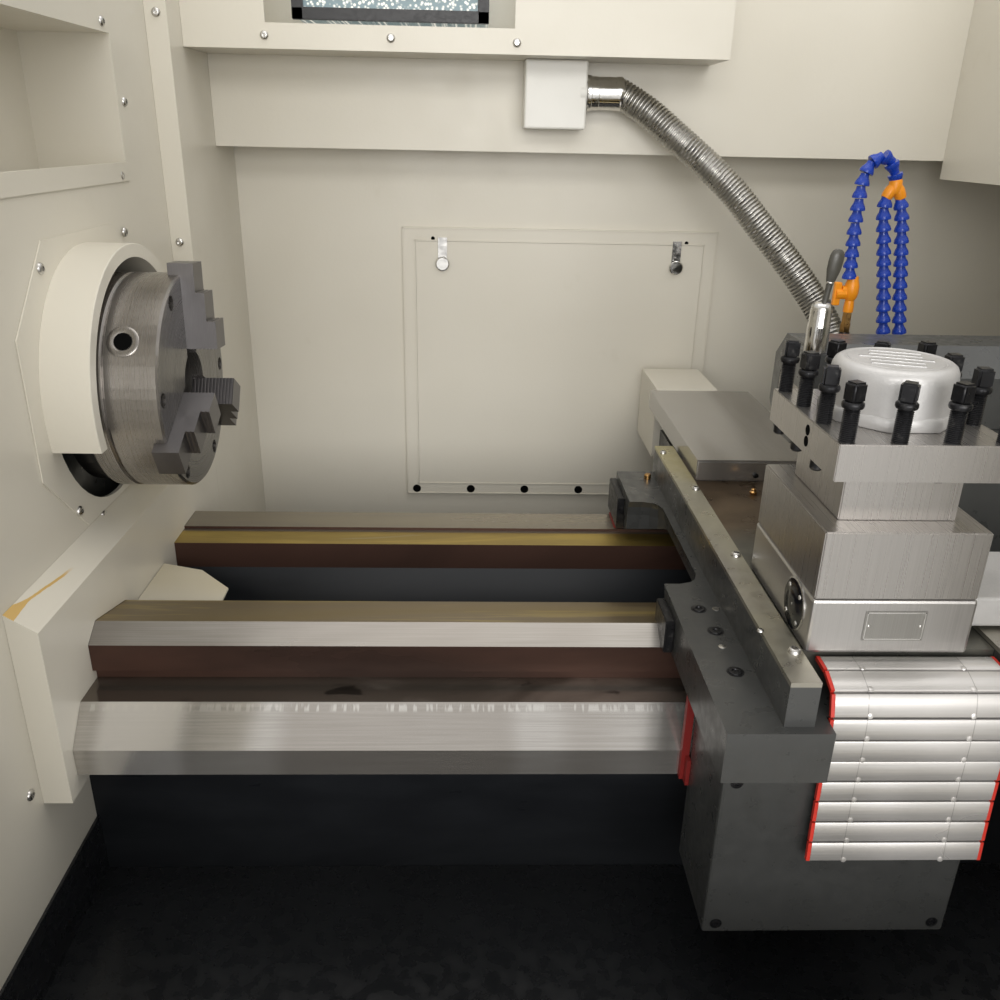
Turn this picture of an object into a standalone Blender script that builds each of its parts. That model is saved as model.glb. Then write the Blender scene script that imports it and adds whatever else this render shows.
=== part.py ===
"""A CNC turning lathe, seen through its open sliding doors: Blender model of every piece.

Sizes are metres in the spindle's own frame: the origin is the centre of the chuck's front face, +X runs along
the bed to the tailstock, +Y to the rear wall and +Z up. The empty spindle_line puts that frame in the world.
"""

import math

import bmesh
import bpy
from mathutils import Matrix, Vector

# Clearances and cuts
SEAT = 0.0003
RUNNING = 0.0005
OVERRUN = 0.01
SHEET = 0.003

# Casing
SPINDLE_HEIGHT = 1.13
CASE_LEFT = -0.765
CASE_RIGHT = 1.495
CASE_FRONT = -0.64
CASE_BACK = 0.605
CASE_TOP = 0.62
CASE_FOOT_GAP = 0.05
WALL_X = -0.11
CORNER_X = -0.08
CORNER_Y = 0.31
TRAY_FLOOR = -0.56
TRAY_RIM = 0.08
SILL_DEPTH = 0.07
POCKET_LEFT = -0.22
POCKET_FRONT = -0.30
POCKET_BACK = 0.173
POCKET_BOTTOM = 0.225
POCKET_TOP = 0.383

# Door opening and door leaves
OPENING_LEFT = -0.10
OPENING_RIGHT = 0.98
OPENING_BOTTOM = -0.36
OPENING_TOP = 0.52
DOOR_WIDTH = 0.545
DOOR_THICK = 0.015
DOOR_LAP = 0.012
DOOR_SKIN_GAP = 0.012
DOOR_LEFT_EDGE = -0.02
DOOR_RIGHT_EDGE = 0.90
PANE_THICK = 0.006
PANE_MARGIN = 0.09
HANDLE_REACH = 0.045
HANDLE_HEIGHT = 0.30
HANDLE_BAR = 0.009
RAIL_HEIGHT = 0.012

# Back of the work space
BEAM_Y = 0.49
BEAM_BOTTOM = 0.253
LAMP_PANEL_Y = 0.37
LAMP_PANEL_RIGHT = 0.70
LAMP_PANEL_BOTTOM = 0.385
LAMP_WINDOW_LEFT = 0.037
LAMP_WINDOW_RIGHT = 0.389
LAMP_WINDOW_BOTTOM = 0.418
LAMP_WINDOW_TOP = 0.58
LAMP_LEFT = 0.073
LAMP_RIGHT = 0.352
LAMP_HEIGHT = 0.13
LAMP_GAP = 0.02
CABLE_BOX_LEFT = 1.10
CABLE_BOX_FRONT = 0.12
CABLE_BOX_BOTTOM = 0.225
JUNCTION_LEFT = 0.408
JUNCTION_RIGHT = 0.503
JUNCTION_BOTTOM = 0.288
JUNCTION_TOP = LAMP_PANEL_BOTTOM - SEAT
JUNCTION_DEPTH = 0.06
GLAND_RADIUS = 0.0215
GLAND_LENGTH = 0.041
GLAND_HEIGHT = 0.34
GLAND_Y = 0.45

# Rear hatch
HATCH_LEFT = 0.205
HATCH_RIGHT = 0.772
HATCH_BOTTOM = -0.386
HATCH_TOP = 0.124
HATCH_BORDER = 0.024
HATCH_FRAME_DEEP = 0.006
HATCH_LIP = 0.02
LATCH_LEFT = 0.277
LATCH_RIGHT = 0.699
LATCH_HEIGHT = 0.062
LATCH_ARM = 0.045
LATCH_WIDTH = 0.016
LATCH_THICK = 0.003
LATCH_NUT = 0.0085

# Bed and its ways
BED_LEFT = -0.70
BED_RIGHT = 1.30
BED_BOTTOM = -0.60
BED_FRONT = -0.20
BED_BACK = 0.175
REAR_WAY_TOP = -0.251
REAR_WAY_BACK = 0.187
REAR_WAY_STEP = 0.132
REAR_WAY_FRONT = 0.084
REAR_WAY_DROP = 0.004
WAY_DEPTH = 0.045
V_PEAK_Y = -0.183
V_PEAK_Z = -0.224
V_INNER_Y = -0.098
V_INNER_Z = -0.245
V_OUTER_Y = -0.208
V_OUTER_Z = -0.240
V_SIDE_BOTTOM = -0.272
TROUGH_FLOOR = -0.36
TROUGH_HALF = 0.045
PEDESTAL_FRONT = -0.22
PEDESTAL_BACK = 0.24
PEDESTAL_LEFT_END = -0.13
PEDESTAL_RIGHT_START = 0.95
LEDGE_TOP = -0.15
LEDGE_RIDGE = -0.17
END_COVER_FRONT = -0.30
END_COVER_BOTTOM = -0.374

# Lengthwise screw, its cover and its motor
SCREW_Y = -0.24
SCREW_Z = -0.335
SCREW_RADIUS = 0.016
SCREW_LEFT = -0.33
SCREW_BLOCK = 0.04
SCREW_BLOCK_HALF = 0.032
SCREW_BLOCK_RIGHT = BED_RIGHT - SCREW_BLOCK - SHEET
Z_COVER_TOP = -0.285
Z_COVER_BEND = -0.247
Z_COVER_FRONT = -0.281
Z_COVER_SLANT = -0.322
Z_COVER_BOTTOM = -0.353
Z_COVER_SHEET = 0.0015
Z_MOTOR_LENGTH = 0.18
Z_MOTOR_HALF = 0.06

# Headstock, spindle and chuck
HEAD_LEFT = -0.60
HEAD_RIGHT = -0.135
HEAD_HALF = 0.2
HEAD_TOP = 0.19
BORE_RADIUS = 0.035
SPINDLE_RADIUS = 0.055
SPINDLE_LEFT = -0.69
NOSE_RADIUS = 0.118
PULLEY_RADIUS = 0.11
PULLEY_WIDTH = 0.05
MOTOR_RADIUS = 0.11
MOTOR_Y = 0.38
MOTOR_Z = -0.82
MOTOR_LENGTH = 0.34
CHUCK_RADIUS = 0.125
CHUCK_LENGTH = 0.059
CHUCK_EDGE = 0.0025
BACK_PLATE_THICK = 0.026
SCROLL_INNER = 0.05
SCROLL_OUTER = 0.1
SCROLL_THICK = 0.011
PINION_X = -0.0335
PINION_RADIUS = 0.0132
PINION_LENGTH = 0.036
PINION_SINK = 0.002
KEY_HALF = 0.0065
KEY_DEPTH = 0.016
JAW_WIDTH = 0.034
JAW_INNER = 0.040
JAW_OUTER = 0.137
JAW_HEIGHT = 0.0355
JAW_RISE = 0.010
JAW_ROOT = 0.0135
JAW_TOOTH = 0.0042
FACE_HOLE_RADIUS = 0.0085
FACE_HOLE_CIRCLE = 0.112
FACE_HOLE_DEPTH = 0.012
GUARD_OUTER = 0.157
GUARD_WALL = 0.016
GUARD_FRONT = -0.057
GUARD_CUT = -0.04
FLANGE_FRONT = -0.182
FLANGE_BACK = 0.18
FLANGE_BOTTOM = -0.147
FLANGE_TOP = 0.17
FLANGE_CORNER = 0.085
FLANGE_THICK = 0.0015

# Carriage
SADDLE_LEFT = 0.553
SADDLE_RIGHT = 0.86
SADDLE_TOP = -0.19
SADDLE_FRONT = -0.427
SADDLE_BACK = 0.211
SADDLE_BOTTOM = -0.242
BRIDGE_LEFT = 0.605
BRIDGE_RIGHT = 0.843
REAR_WING_FRONT = 0.10
FRONT_WING_BACK = -0.163
KEEPER_DROP = 0.035
STRIP_WIDTH = 0.027
STRIP_TOP = -0.145
STRIP_BACK = 0.20
ARM_BACK = 0.42
ARM_LEFT = 0.66
ARM_RIGHT = 0.905
ARM_SIDE_BACK = 0.315
ARM_THICK = 0.05
APRON_LEFT = 0.565
APRON_RIGHT = 0.808
APRON_FRONT = -0.40
APRON_BACK = -0.291
APRON_BOTTOM = -0.45
NUT_RADIUS = 0.026
NUT_LEFT = 0.64
NUT_RIGHT = 0.74
NUT_ARM_TOP = -0.366
NUT_ARM_BOTTOM = -0.40
WIPER_THICK = 0.008
ROLL_LEFT = 0.648
ROLL_RIGHT = 0.814
ROLL_SHEET = 0.004
ROLL_NOTCH = -0.4015
ROLL_BACK = -0.361
ROLL_FRONT = -0.415
ROLL_TOP = -0.156
ROLL_BOTTOM = -0.344
X_COVER_LEFT = 0.636
X_COVER_RIGHT = 0.805
X_COVER_FRONT = 0.07
X_COVER_TOP = -0.12
X_MOTOR_LEFT = 0.648
X_MOTOR_RIGHT = 0.752
X_MOTOR_BACK = 0.565
X_MOTOR_TOP = -0.1185
CONDUIT_X = 0.89
CONDUIT_Y = 0.30
CONDUIT_FOOT = -0.08
CONDUIT_RADIUS = 0.0225
POST_HALF = 0.028

# Cross slide and tool turret
SLIDE_TOP = -0.150
SLIDE_FRONT = -0.355
SLIDE_BACK = 0.16
TURRET_X = 0.7105
TURRET_Y = -0.276
BASE_HALF_X = 0.0745
BASE_HALF_Y = 0.0865
BASE_TOP = -0.0953
MOTOR_BOX_RIGHT = 0.93
MOTOR_BOX_TOP = -0.112
MOTOR_BOX_LOW = -0.165
MOTOR_BOX_HALF = 0.052
TURRET_BOTTOM = BASE_TOP + SEAT
TURRET_FLANGE_TOP = -0.030
TURRET_NECK_TOP = 0.017
TURRET_TOP = 0.050
TURRET_PLATE_X = 0.076
TURRET_PLATE_Y = 0.0875
TURRET_FLANGE_X = 0.0735
TURRET_FLANGE_Y = 0.0855
TURRET_NECK_X = 0.053
TURRET_NECK_Y = 0.058
CAP_RADIUS = 0.055
CAP_HEIGHT = 0.07
BOLT_RADIUS = 0.006
BOLT_HEAD = 0.0075
BOLT_HEAD_TALL = 0.014
BOLT_TALL = 0.057
BOLT_INSET = 0.009

# Tailstock
TAIL_LEFT = 0.719
TAIL_RIGHT = 1.03
TAIL_HALF = 0.062
TAIL_TOP = 0.061
TAIL_FLAT = 0.03
TAIL_BASE_LEFT = 0.90
TAIL_BASE_RIGHT = 1.12
TAIL_BASE_TOP = -0.2
TAIL_BASE_BACK = 0.19
TAIL_BASE_FRONT = -0.215
QUILL_RADIUS = 0.0375
QUILL_BORE = 0.013
QUILL_LENGTH = 0.29
WHEEL_RADIUS = 0.1
WHEEL_RIM = 0.011
WHEEL_HUB = 0.026
WHEEL_X = 1.075
WHEEL_SHAFT = 0.012
LOCK_X = 0.716
LOCK_Y = -0.078
LOCK_BLOCK_BOTTOM = 0.020
LOCK_BLOCK_TOP = 0.062
LOCK_BLOCK_HALF = 0.0125
LOCK_RADIUS = 0.012
LOCK_TALL = 0.11

# Coolant line on the carriage
PIPE_X = 0.864
PIPE_Y = 0.197
PIPE_RADIUS = 0.0085
VALVE_HEIGHT = 0.083
VALVE_HALF = 0.0245
VALVE_RADIUS = 0.0115
HOSE_RADIUS = 0.0075
HOSE_RISE_X = 0.851
HOSE_BEND = 0.023
HOSE_TOP = 0.262
FORK_HEIGHT = 0.213
FORK_HALF = 0.009
FORK_BLOCK = 0.012
HOSE_END_X = 0.9275
HOSE_END = 0.029
HOSE_SPREAD = 0.0115
KNOB_RADIUS = 0.0075
KNOB_LENGTH = 0.014
KNOB_WING = 0.016

# Control box
CONTROL_LEFT = 1.05
CONTROL_RIGHT = 1.40
CONTROL_BOTTOM = -0.12
CONTROL_TOP = 0.42
CONTROL_DEPTH = 0.095
SCREEN_MARGIN = 0.035
SCREEN_HEIGHT = 0.21
SCREEN_SINK = 0.004
ESTOP_RADIUS = 0.02
ESTOP_TALL = 0.022
ESTOP_STEM = 0.011
ESTOP_TRAVEL = 0.005
MPG_RADIUS = 0.03
MPG_TALL = 0.016

# Segment counts
ROUND = 48
FINE = 68
MIDDLE = 32
SMALL = 20

AXES = {
    "X": Matrix(((0, 0, 1), (1, 0, 0), (0, 1, 0))).to_4x4(),
    "Y": Matrix(((1, 0, 0), (0, 0, 1), (0, -1, 0))).to_4x4(),
    "Z": Matrix.Identity(4),
}

# Place of the spindle line over the middle of the footprint
FRONT_REACH = CASE_FRONT - 2 * SEAT - CONTROL_DEPTH - ESTOP_TRAVEL - ESTOP_TALL
SPINDLE_X = -(CASE_LEFT + CASE_RIGHT) / 2
SPINDLE_Y = -(FRONT_REACH + CASE_BACK + SHEET) / 2

FLOOR = -SPINDLE_HEIGHT
CASE_FOOT = FLOOR + CASE_FOOT_GAP
DOOR_BACK = CASE_FRONT + SHEET + DOOR_SKIN_GAP + DOOR_THICK
DOOR_BOTTOM = OPENING_BOTTOM - DOOR_LAP
DOOR_TOP = OPENING_TOP + DOOR_LAP
SILL_TOP = DOOR_BOTTOM - RAIL_HEIGHT
SILL_BACK = CASE_FRONT + SILL_DEPTH


def clear_scene():
    """Empty the file, so that the script can be run from any scene."""
    for found in list(bpy.data.objects):
        bpy.data.objects.remove(found, do_unlink=True)


def collection(name):
    """A new collection of the scene."""
    made = bpy.data.collections.new(name)
    bpy.context.scene.collection.children.link(made)
    return made


def paint(name, colour, roughness, metallic=0.0, alpha=1.0):
    """A Principled BSDF material."""
    made = bpy.data.materials.new(name)
    made.use_nodes = True
    shader = made.node_tree.nodes["Principled BSDF"]
    shader.inputs["Base Color"].default_value = (*colour, 1)
    shader.inputs["Roughness"].default_value = roughness
    shader.inputs["Metallic"].default_value = metallic
    shader.inputs["Alpha"].default_value = alpha
    return made


clear_scene()
PARTS = collection("cnc_turning_lathe")
CUTTERS = collection("cutters")
CREAM = paint("cream_paint", (0.78, 0.72, 0.56), 0.35)
CAST = paint("dark_casting", (0.09, 0.09, 0.095), 0.35)
GROUND = paint("ground_steel", (0.52, 0.51, 0.49), 0.28, 0.9)
CHUCK_STEEL = paint("chuck_steel", (0.16, 0.16, 0.17), 0.3, 0.8)
STAINLESS = paint("stainless_sheet", (0.66, 0.66, 0.66), 0.18, 1.0)
ALUMINIUM = paint("aluminium", (0.7, 0.71, 0.72), 0.4, 0.9)
BLACK = paint("black_plastic", (0.02, 0.02, 0.022), 0.45)
RED = paint("red_rubber", (0.55, 0.03, 0.02), 0.5)
ORANGE = paint("orange_plastic", (0.85, 0.25, 0.03), 0.4)
BLUE = paint("blue_plastic", (0.05, 0.18, 0.55), 0.4)
GLASS = paint("clear_pane", (0.8, 0.85, 0.85), 0.05, 0.0, 0.3)
LAMP_WHITE = paint("lamp_white", (0.9, 0.9, 0.88), 0.3)


def spindle_line():
    """The empty that carries every piece and stands on the spindle's axis."""
    made = bpy.data.objects.new("spindle_line", None)
    made.location = (SPINDLE_X, SPINDLE_Y, SPINDLE_HEIGHT)
    PARTS.objects.link(made)
    return made


LINE = spindle_line()


def placed(name, mesh, at=(0, 0, 0)):
    """A new object of this mesh, with its origin at a point of the spindle frame."""
    made = bpy.data.objects.new(name, mesh)
    made.data.transform(Matrix.Translation(-Vector(at)))
    made.location = at
    made.parent = LINE
    PARTS.objects.link(made)
    return made


def mesh_of(name, shape):
    """The bmesh as a mesh."""
    mesh = bpy.data.meshes.new(name)
    shape.to_mesh(mesh)
    shape.free()
    return mesh


def box(name, low, high, at=(0, 0, 0)):
    """A block between two corners."""
    shape = bmesh.new()
    bmesh.ops.create_cube(shape, size=1)
    low, high = Vector(low), Vector(high)
    bmesh.ops.scale(shape, vec=high - low, verts=shape.verts)
    bmesh.ops.translate(shape, vec=(low + high) / 2, verts=shape.verts)
    return placed(name, mesh_of(name, shape), at)


def rod(name, axis, centre, radius, start, end, at=(0, 0, 0), sides=SMALL, end_radius=None):
    """A cylinder or cone along X, Y or Z. The centre is the point of its axis in the other two directions."""
    shape = bmesh.new()
    tip = radius if end_radius is None else end_radius
    bmesh.ops.create_cone(
        shape, cap_ends=True, segments=sides, radius1=radius, radius2=tip, depth=end - start
    )
    bmesh.ops.translate(shape, vec=(0, 0, (start + end) / 2), verts=shape.verts)
    bmesh.ops.transform(shape, matrix=AXES[axis], verts=shape.verts)
    away = {"X": (0, *centre), "Y": (centre[0], 0, centre[1]), "Z": (*centre, 0)}[axis]
    bmesh.ops.translate(shape, vec=away, verts=shape.verts)
    # A turn about a mirrored frame leaves the faces inside out, so they are all set outward here.
    bmesh.ops.recalc_face_normals(shape, faces=shape.faces)
    return rounded(placed(name, mesh_of(name, shape), at))


def rounded(made):
    """Shade a round piece smooth, with its sharp edges kept."""
    for face in made.data.polygons:
        face.use_smooth = True
    made.data.set_sharp_from_angle(angle=math.radians(35))
    return made


def as_mesh(made):
    """The evaluated object as a plain welded mesh object, in the old one's place."""
    bpy.context.view_layer.update()
    graph = bpy.context.evaluated_depsgraph_get()
    mesh = bpy.data.meshes.new_from_object(made.evaluated_get(graph))
    shape = bmesh.new()
    shape.from_mesh(mesh)
    bmesh.ops.remove_doubles(shape, verts=shape.verts, dist=1e-5)
    bmesh.ops.recalc_face_normals(shape, faces=shape.faces)
    shape.to_mesh(mesh)
    shape.free()
    solid = bpy.data.objects.new(made.name, mesh)
    solid.matrix_world = made.matrix_world
    name = made.name
    bpy.data.objects.remove(made, do_unlink=True)
    solid.name = name
    PARTS.objects.link(solid)
    return solid


def plate(name, axis, points, start, end, at=(0, 0, 0)):
    """A flat outline with thickness along X, Y or Z.

    The outline's pairs are (y, z) for X, (x, z) for Y and (x, y) for Z.
    """
    curve = bpy.data.curves.new(name, "CURVE")
    curve.dimensions = "2D"
    curve.fill_mode = "BOTH"
    curve.extrude = (end - start) / 2
    line = curve.splines.new("POLY")
    line.points.add(len(points) - 1)
    # Along Y the frame's second direction runs downward, so that pair is turned over.
    turn = -1 if axis == "Y" else 1
    for spot, (across, up) in zip(line.points, points):
        spot.co = (across, up * turn, 0, 1)
    line.use_cyclic_u = True
    flat = bpy.data.objects.new(name, curve)
    PARTS.objects.link(flat)
    shift = Matrix.Translation((0, 0, (start + end) / 2))
    solid = as_mesh(flat)
    solid.data.transform(AXES[axis] @ shift)
    mesh = solid.data
    bpy.data.objects.remove(solid, do_unlink=True)
    made = placed(name, mesh, at)
    made.name = name
    return made


def turned(name, axis, profile, at=(0, 0, 0), steps=FINE):
    """A turned piece: (radius, height) pairs down its outer side, spun about the axis through its origin."""
    mesh = bpy.data.meshes.new(name)
    spots = [(radius, 0, along) for radius, along in profile]
    ends = range(len(spots) - 1)
    mesh.from_pydata(spots, [(spot, spot + 1) for spot in ends], [])
    made = bpy.data.objects.new(name, mesh)
    PARTS.objects.link(made)
    spin = made.modifiers.new("spin", "SCREW")
    spin.axis = "Z"
    spin.steps = spin.render_steps = steps
    spin.use_merge_vertices = True
    spin.merge_threshold = 0.00005
    solid = as_mesh(made)
    solid.data.transform(AXES[axis])
    solid.parent = LINE
    solid.location = at
    return rounded(solid)


def ring(outer, inner, low, high):
    """The profile of a tube, from its top outer edge down and back up the bore."""
    return [(outer, high), (outer, low), (inner, low), (inner, high), (outer, high)]


def tool_object(other):
    """Turn an object into a cutter or a filler that no render shows."""
    PARTS.objects.unlink(other)
    CUTTERS.objects.link(other)
    other.hide_render = True
    other.display_type = "WIRE"


def combined(made, others, operation):
    """Join or cut an object with each of the others, by exact Boolean modifiers."""
    for other in others:
        step = made.modifiers.new(operation.lower(), "BOOLEAN")
        step.operation = operation
        step.solver = "EXACT"
        step.object = other
        tool_object(other)
    return made


def join(made, *others):
    """Fuse others to an object."""
    return combined(made, others, "UNION")


def cut(made, *others):
    """Cut others out of an object."""
    return combined(made, others, "DIFFERENCE")


def soften(made, width, segments=2):
    """Round the sharp edges of an object."""
    edge = made.modifiers.new("edges", "BEVEL")
    edge.width = width
    edge.segments = segments
    edge.limit_method = "ANGLE"
    edge.angle_limit = math.radians(40)
    edge.use_clamp_overlap = True
    return made


def finish(made, material):
    """Give an object its material."""
    made.data.materials.clear()
    made.data.materials.append(material)
    return made


def bed_profile(gap=0):
    """The bed's section as (y, z) points, grown by a gap."""
    return [
        (BED_FRONT - gap, BED_BOTTOM - gap),
        (BED_FRONT - gap, V_SIDE_BOTTOM - gap),
        (V_OUTER_Y - gap, V_SIDE_BOTTOM - gap),
        (V_OUTER_Y - gap, V_OUTER_Z + gap),
        (V_PEAK_Y, V_PEAK_Z + gap),
        (V_INNER_Y + gap, V_INNER_Z + gap),
        (V_INNER_Y + gap, V_INNER_Z - WAY_DEPTH),
        (-TROUGH_HALF + gap, TROUGH_FLOOR + gap),
        (TROUGH_HALF - gap, TROUGH_FLOOR + gap),
        (REAR_WAY_FRONT - gap, REAR_WAY_TOP - WAY_DEPTH + REAR_WAY_DROP),
        (REAR_WAY_FRONT - gap, REAR_WAY_TOP - REAR_WAY_DROP + gap),
        (REAR_WAY_STEP - gap, REAR_WAY_TOP - REAR_WAY_DROP + gap),
        (REAR_WAY_STEP - gap, REAR_WAY_TOP + gap),
        (REAR_WAY_BACK + gap, REAR_WAY_TOP + gap),
        (REAR_WAY_BACK + gap, REAR_WAY_TOP - WAY_DEPTH - gap),
        (BED_BACK + gap, REAR_WAY_TOP - WAY_DEPTH - gap),
        (BED_BACK + gap, BED_BOTTOM - gap),
    ]


def screw_block(name, start):
    """A bearing block of the lengthwise screw, on the bed's front wall."""
    return box(
        name,
        (start, SCREW_Y - SCREW_BLOCK_HALF, SCREW_Z - SCREW_BLOCK_HALF),
        (start + SCREW_BLOCK, BED_FRONT + OVERRUN, SCREW_Z + SCREW_BLOCK_HALF),
    )


def make_bed():
    """The bed casting with its ways, trough and the screw's bearing blocks."""
    bed = plate("bed", "X", bed_profile(), BED_LEFT, BED_RIGHT)
    join(bed, screw_block("left_block", WALL_X - 2 * SCREW_BLOCK))
    join(bed, screw_block("right_block", SCREW_BLOCK_RIGHT))
    bore = rod("screw_bore", "X", (SCREW_Y, SCREW_Z), SCREW_RADIUS + RUNNING, BED_LEFT, BED_RIGHT - RUNNING)
    cut(bed, bore)
    chips = box(
        "chip_window",
        (WALL_X / 2, SHEET - TROUGH_HALF, BED_BOTTOM - OVERRUN),
        (PEDESTAL_RIGHT_START, TROUGH_HALF - SHEET, V_PEAK_Z),
    )
    cut(bed, chips)
    finish(bed, CAST)


def make_pedestals():
    """The two cast pedestals under the bed."""
    ends = {
        "pedestal_left": (BED_LEFT, PEDESTAL_LEFT_END),
        "pedestal_right": (PEDESTAL_RIGHT_START, BED_RIGHT),
    }
    for name, (start, end) in ends.items():
        foot = box(name, (start, PEDESTAL_FRONT, FLOOR), (end, PEDESTAL_BACK, BED_BOTTOM - SEAT))
        finish(soften(foot, SHEET), CAST)


def make_chip_tray():
    """The sheet tray round the bed, with its rim."""
    end = CASE_RIGHT - SHEET - SEAT
    tray = box(
        "chip_tray",
        (WALL_X + SEAT, SILL_BACK + SEAT, TRAY_FLOOR - SHEET),
        (end, CASE_BACK - SEAT, TRAY_FLOOR + TRAY_RIM),
    )
    hollow = box(
        "tray_hollow",
        (WALL_X + SEAT + SHEET, SILL_BACK + SEAT + SHEET, TRAY_FLOOR),
        (end - SHEET, CASE_BACK - SEAT - SHEET, TRAY_FLOOR + TRAY_RIM + OVERRUN),
    )
    slot = plate("tray_slot", "X", bed_profile(RUNNING), WALL_X - OVERRUN, BED_RIGHT + RUNNING)
    cut(tray, hollow, slot)
    finish(tray, CAST)


def make_headstock():
    """The headstock casting with the spindle's bore."""
    head = box(
        "headstock", (HEAD_LEFT, -HEAD_HALF, V_PEAK_Z + SEAT), (HEAD_RIGHT, HEAD_HALF, HEAD_TOP)
    )
    soften(head, OVERRUN, 3)
    bore = rod(
        "head_bore", "X", (0, 0), SPINDLE_RADIUS + SEAT, HEAD_LEFT - OVERRUN, HEAD_RIGHT + OVERRUN, sides=FINE
    )
    cut(head, bore)
    finish(head, CAST)


def make_headstock_cover():
    """The cream casing round the headstock, with the pocket in its right wall."""
    low = Vector((CASE_LEFT, CASE_FRONT, CASE_FOOT))
    high = Vector((WALL_X, CASE_BACK, CASE_TOP))
    wall = Vector((SHEET, SHEET, SHEET))
    cover = box("headstock_cover", low, high)
    inside = box("cover_inside", low + wall - Vector((0, 0, OVERRUN)), high - wall)
    pocket = (
        (POCKET_LEFT, POCKET_FRONT, POCKET_BOTTOM),
        (WALL_X, POCKET_BACK, POCKET_TOP),
    )
    tray = box(
        "pocket_tray",
        Vector(pocket[0]) - wall,
        (WALL_X - SHEET / 2, POCKET_BACK + SHEET, POCKET_TOP + SHEET),
    )
    hole = box("pocket_hole", pocket[0], Vector(pocket[1]) + Vector((OVERRUN, 0, 0)))
    spindle_hole = rod(
        "cover_hole", "X", (0, 0), GUARD_OUTER - GUARD_WALL, WALL_X - OVERRUN, WALL_X + OVERRUN, sides=ROUND
    )
    bed_hole = plate("cover_bed", "X", bed_profile(RUNNING), WALL_X - OVERRUN, WALL_X + OVERRUN)
    block_hole = box(
        "cover_block",
        (WALL_X - OVERRUN, SCREW_Y - SCREW_RADIUS - OVERRUN, SCREW_Z - SCREW_RADIUS - OVERRUN),
        (WALL_X + OVERRUN, BED_FRONT + OVERRUN, SCREW_Z + SCREW_RADIUS + OVERRUN),
    )
    door_slot = box(
        "cover_door",
        (WALL_X - OVERRUN, CASE_FRONT + SHEET, SILL_TOP - OVERRUN),
        (WALL_X + OVERRUN, DOOR_BACK + PANE_THICK + OVERRUN, DOOR_TOP + OVERRUN),
    )
    cut(cover, inside)
    join(cover, tray)
    cut(cover, hole, spindle_hole, bed_hole, block_hole, door_slot)
    finish(cover, CREAM)


def make_flange_plate():
    """The plate with cut corners behind the chuck."""
    corner = FLANGE_CORNER
    points = [
        (FLANGE_FRONT + corner, FLANGE_TOP),
        (FLANGE_FRONT, FLANGE_TOP - corner),
        (FLANGE_FRONT, FLANGE_BOTTOM + corner),
        (FLANGE_FRONT + corner, FLANGE_BOTTOM),
        (FLANGE_BACK - corner, FLANGE_BOTTOM),
        (FLANGE_BACK, FLANGE_BOTTOM + corner),
        (FLANGE_BACK, FLANGE_TOP - corner),
        (FLANGE_BACK - corner, FLANGE_TOP),
    ]
    made = plate("flange_plate", "X", points, WALL_X + SEAT, WALL_X + SEAT + FLANGE_THICK)
    hole = rod(
        "flange_hole", "X", (0, 0), GUARD_OUTER - GUARD_WALL, WALL_X - OVERRUN, WALL_X + OVERRUN, sides=ROUND
    )
    cut(made, hole)
    finish(made, CREAM)


def make_chuck_guard():
    """The arch over the chuck's back end."""
    back = WALL_X + 2 * SEAT + FLANGE_THICK
    guard = turned(
        "chuck_guard", "X", ring(GUARD_OUTER, GUARD_OUTER - GUARD_WALL, back, GUARD_FRONT)
    )
    below = box(
        "guard_cut",
        (back - OVERRUN, -GUARD_OUTER - OVERRUN, -GUARD_OUTER - OVERRUN),
        (GUARD_FRONT + OVERRUN, GUARD_OUTER + OVERRUN, GUARD_CUT),
    )
    cut(guard, below)
    finish(guard, CREAM)


def make_bed_end_cover():
    """The cream box that closes the wall round the ways."""
    back = WALL_X + SEAT
    points = [
        (back, LEDGE_TOP),
        (CORNER_X, LEDGE_RIDGE),
        (CORNER_X, END_COVER_BOTTOM),
        (back, END_COVER_BOTTOM),
    ]
    cover = plate("bed_end_cover", "Y", points, END_COVER_FRONT, CORNER_Y - SEAT)
    way = plate("end_cover_bed", "X", bed_profile(RUNNING), WALL_X - OVERRUN, CORNER_X + OVERRUN)
    screw = rod(
        "end_cover_screw",
        "X",
        (SCREW_Y, SCREW_Z),
        SCREW_RADIUS + OVERRUN,
        WALL_X - OVERRUN,
        CORNER_X + OVERRUN,
    )
    cut(cover, way, screw)
    finish(cover, CREAM)


def make_corner_panel():
    """The folded strip between the headstock's wall and the rear wall."""
    panel = box(
        "corner_panel",
        (WALL_X + SEAT, CORNER_Y, TRAY_FLOOR + TRAY_RIM + SEAT),
        (CORNER_X, CORNER_Y + SHEET, CASE_TOP),
    )
    side = box(
        "corner_side",
        (CORNER_X - SHEET, CORNER_Y, TRAY_FLOOR + TRAY_RIM + SEAT),
        (CORNER_X, CASE_BACK - SEAT, CASE_TOP),
    )
    join(panel, side)
    finish(panel, CREAM)


def make_back_wall():
    """The rear wall with the hatch's opening and its raised frame."""
    right = CASE_RIGHT - SHEET - SEAT
    wall = box("back_wall", (WALL_X + SEAT, CASE_BACK, CASE_FOOT), (right, CASE_BACK + SHEET, CASE_TOP))
    frame = box(
        "hatch_frame",
        (HATCH_LEFT, CASE_BACK - HATCH_FRAME_DEEP, HATCH_BOTTOM),
        (HATCH_RIGHT, CASE_BACK + SHEET / 2, HATCH_TOP),
    )
    border = HATCH_BORDER
    seat = box(
        "hatch_seat",
        (HATCH_LEFT + border, CASE_BACK - 2 * HATCH_FRAME_DEEP, HATCH_BOTTOM + border / 2),
        (HATCH_RIGHT - border, CASE_BACK, HATCH_TOP - border),
    )
    lip = border + HATCH_LIP
    opening = box(
        "hatch_opening",
        (HATCH_LEFT + lip, CASE_BACK - OVERRUN, HATCH_BOTTOM + lip),
        (HATCH_RIGHT - lip, CASE_BACK + OVERRUN, HATCH_TOP - lip - border),
    )
    join(wall, frame)
    cut(wall, seat, opening)
    finish(wall, CREAM)


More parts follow.
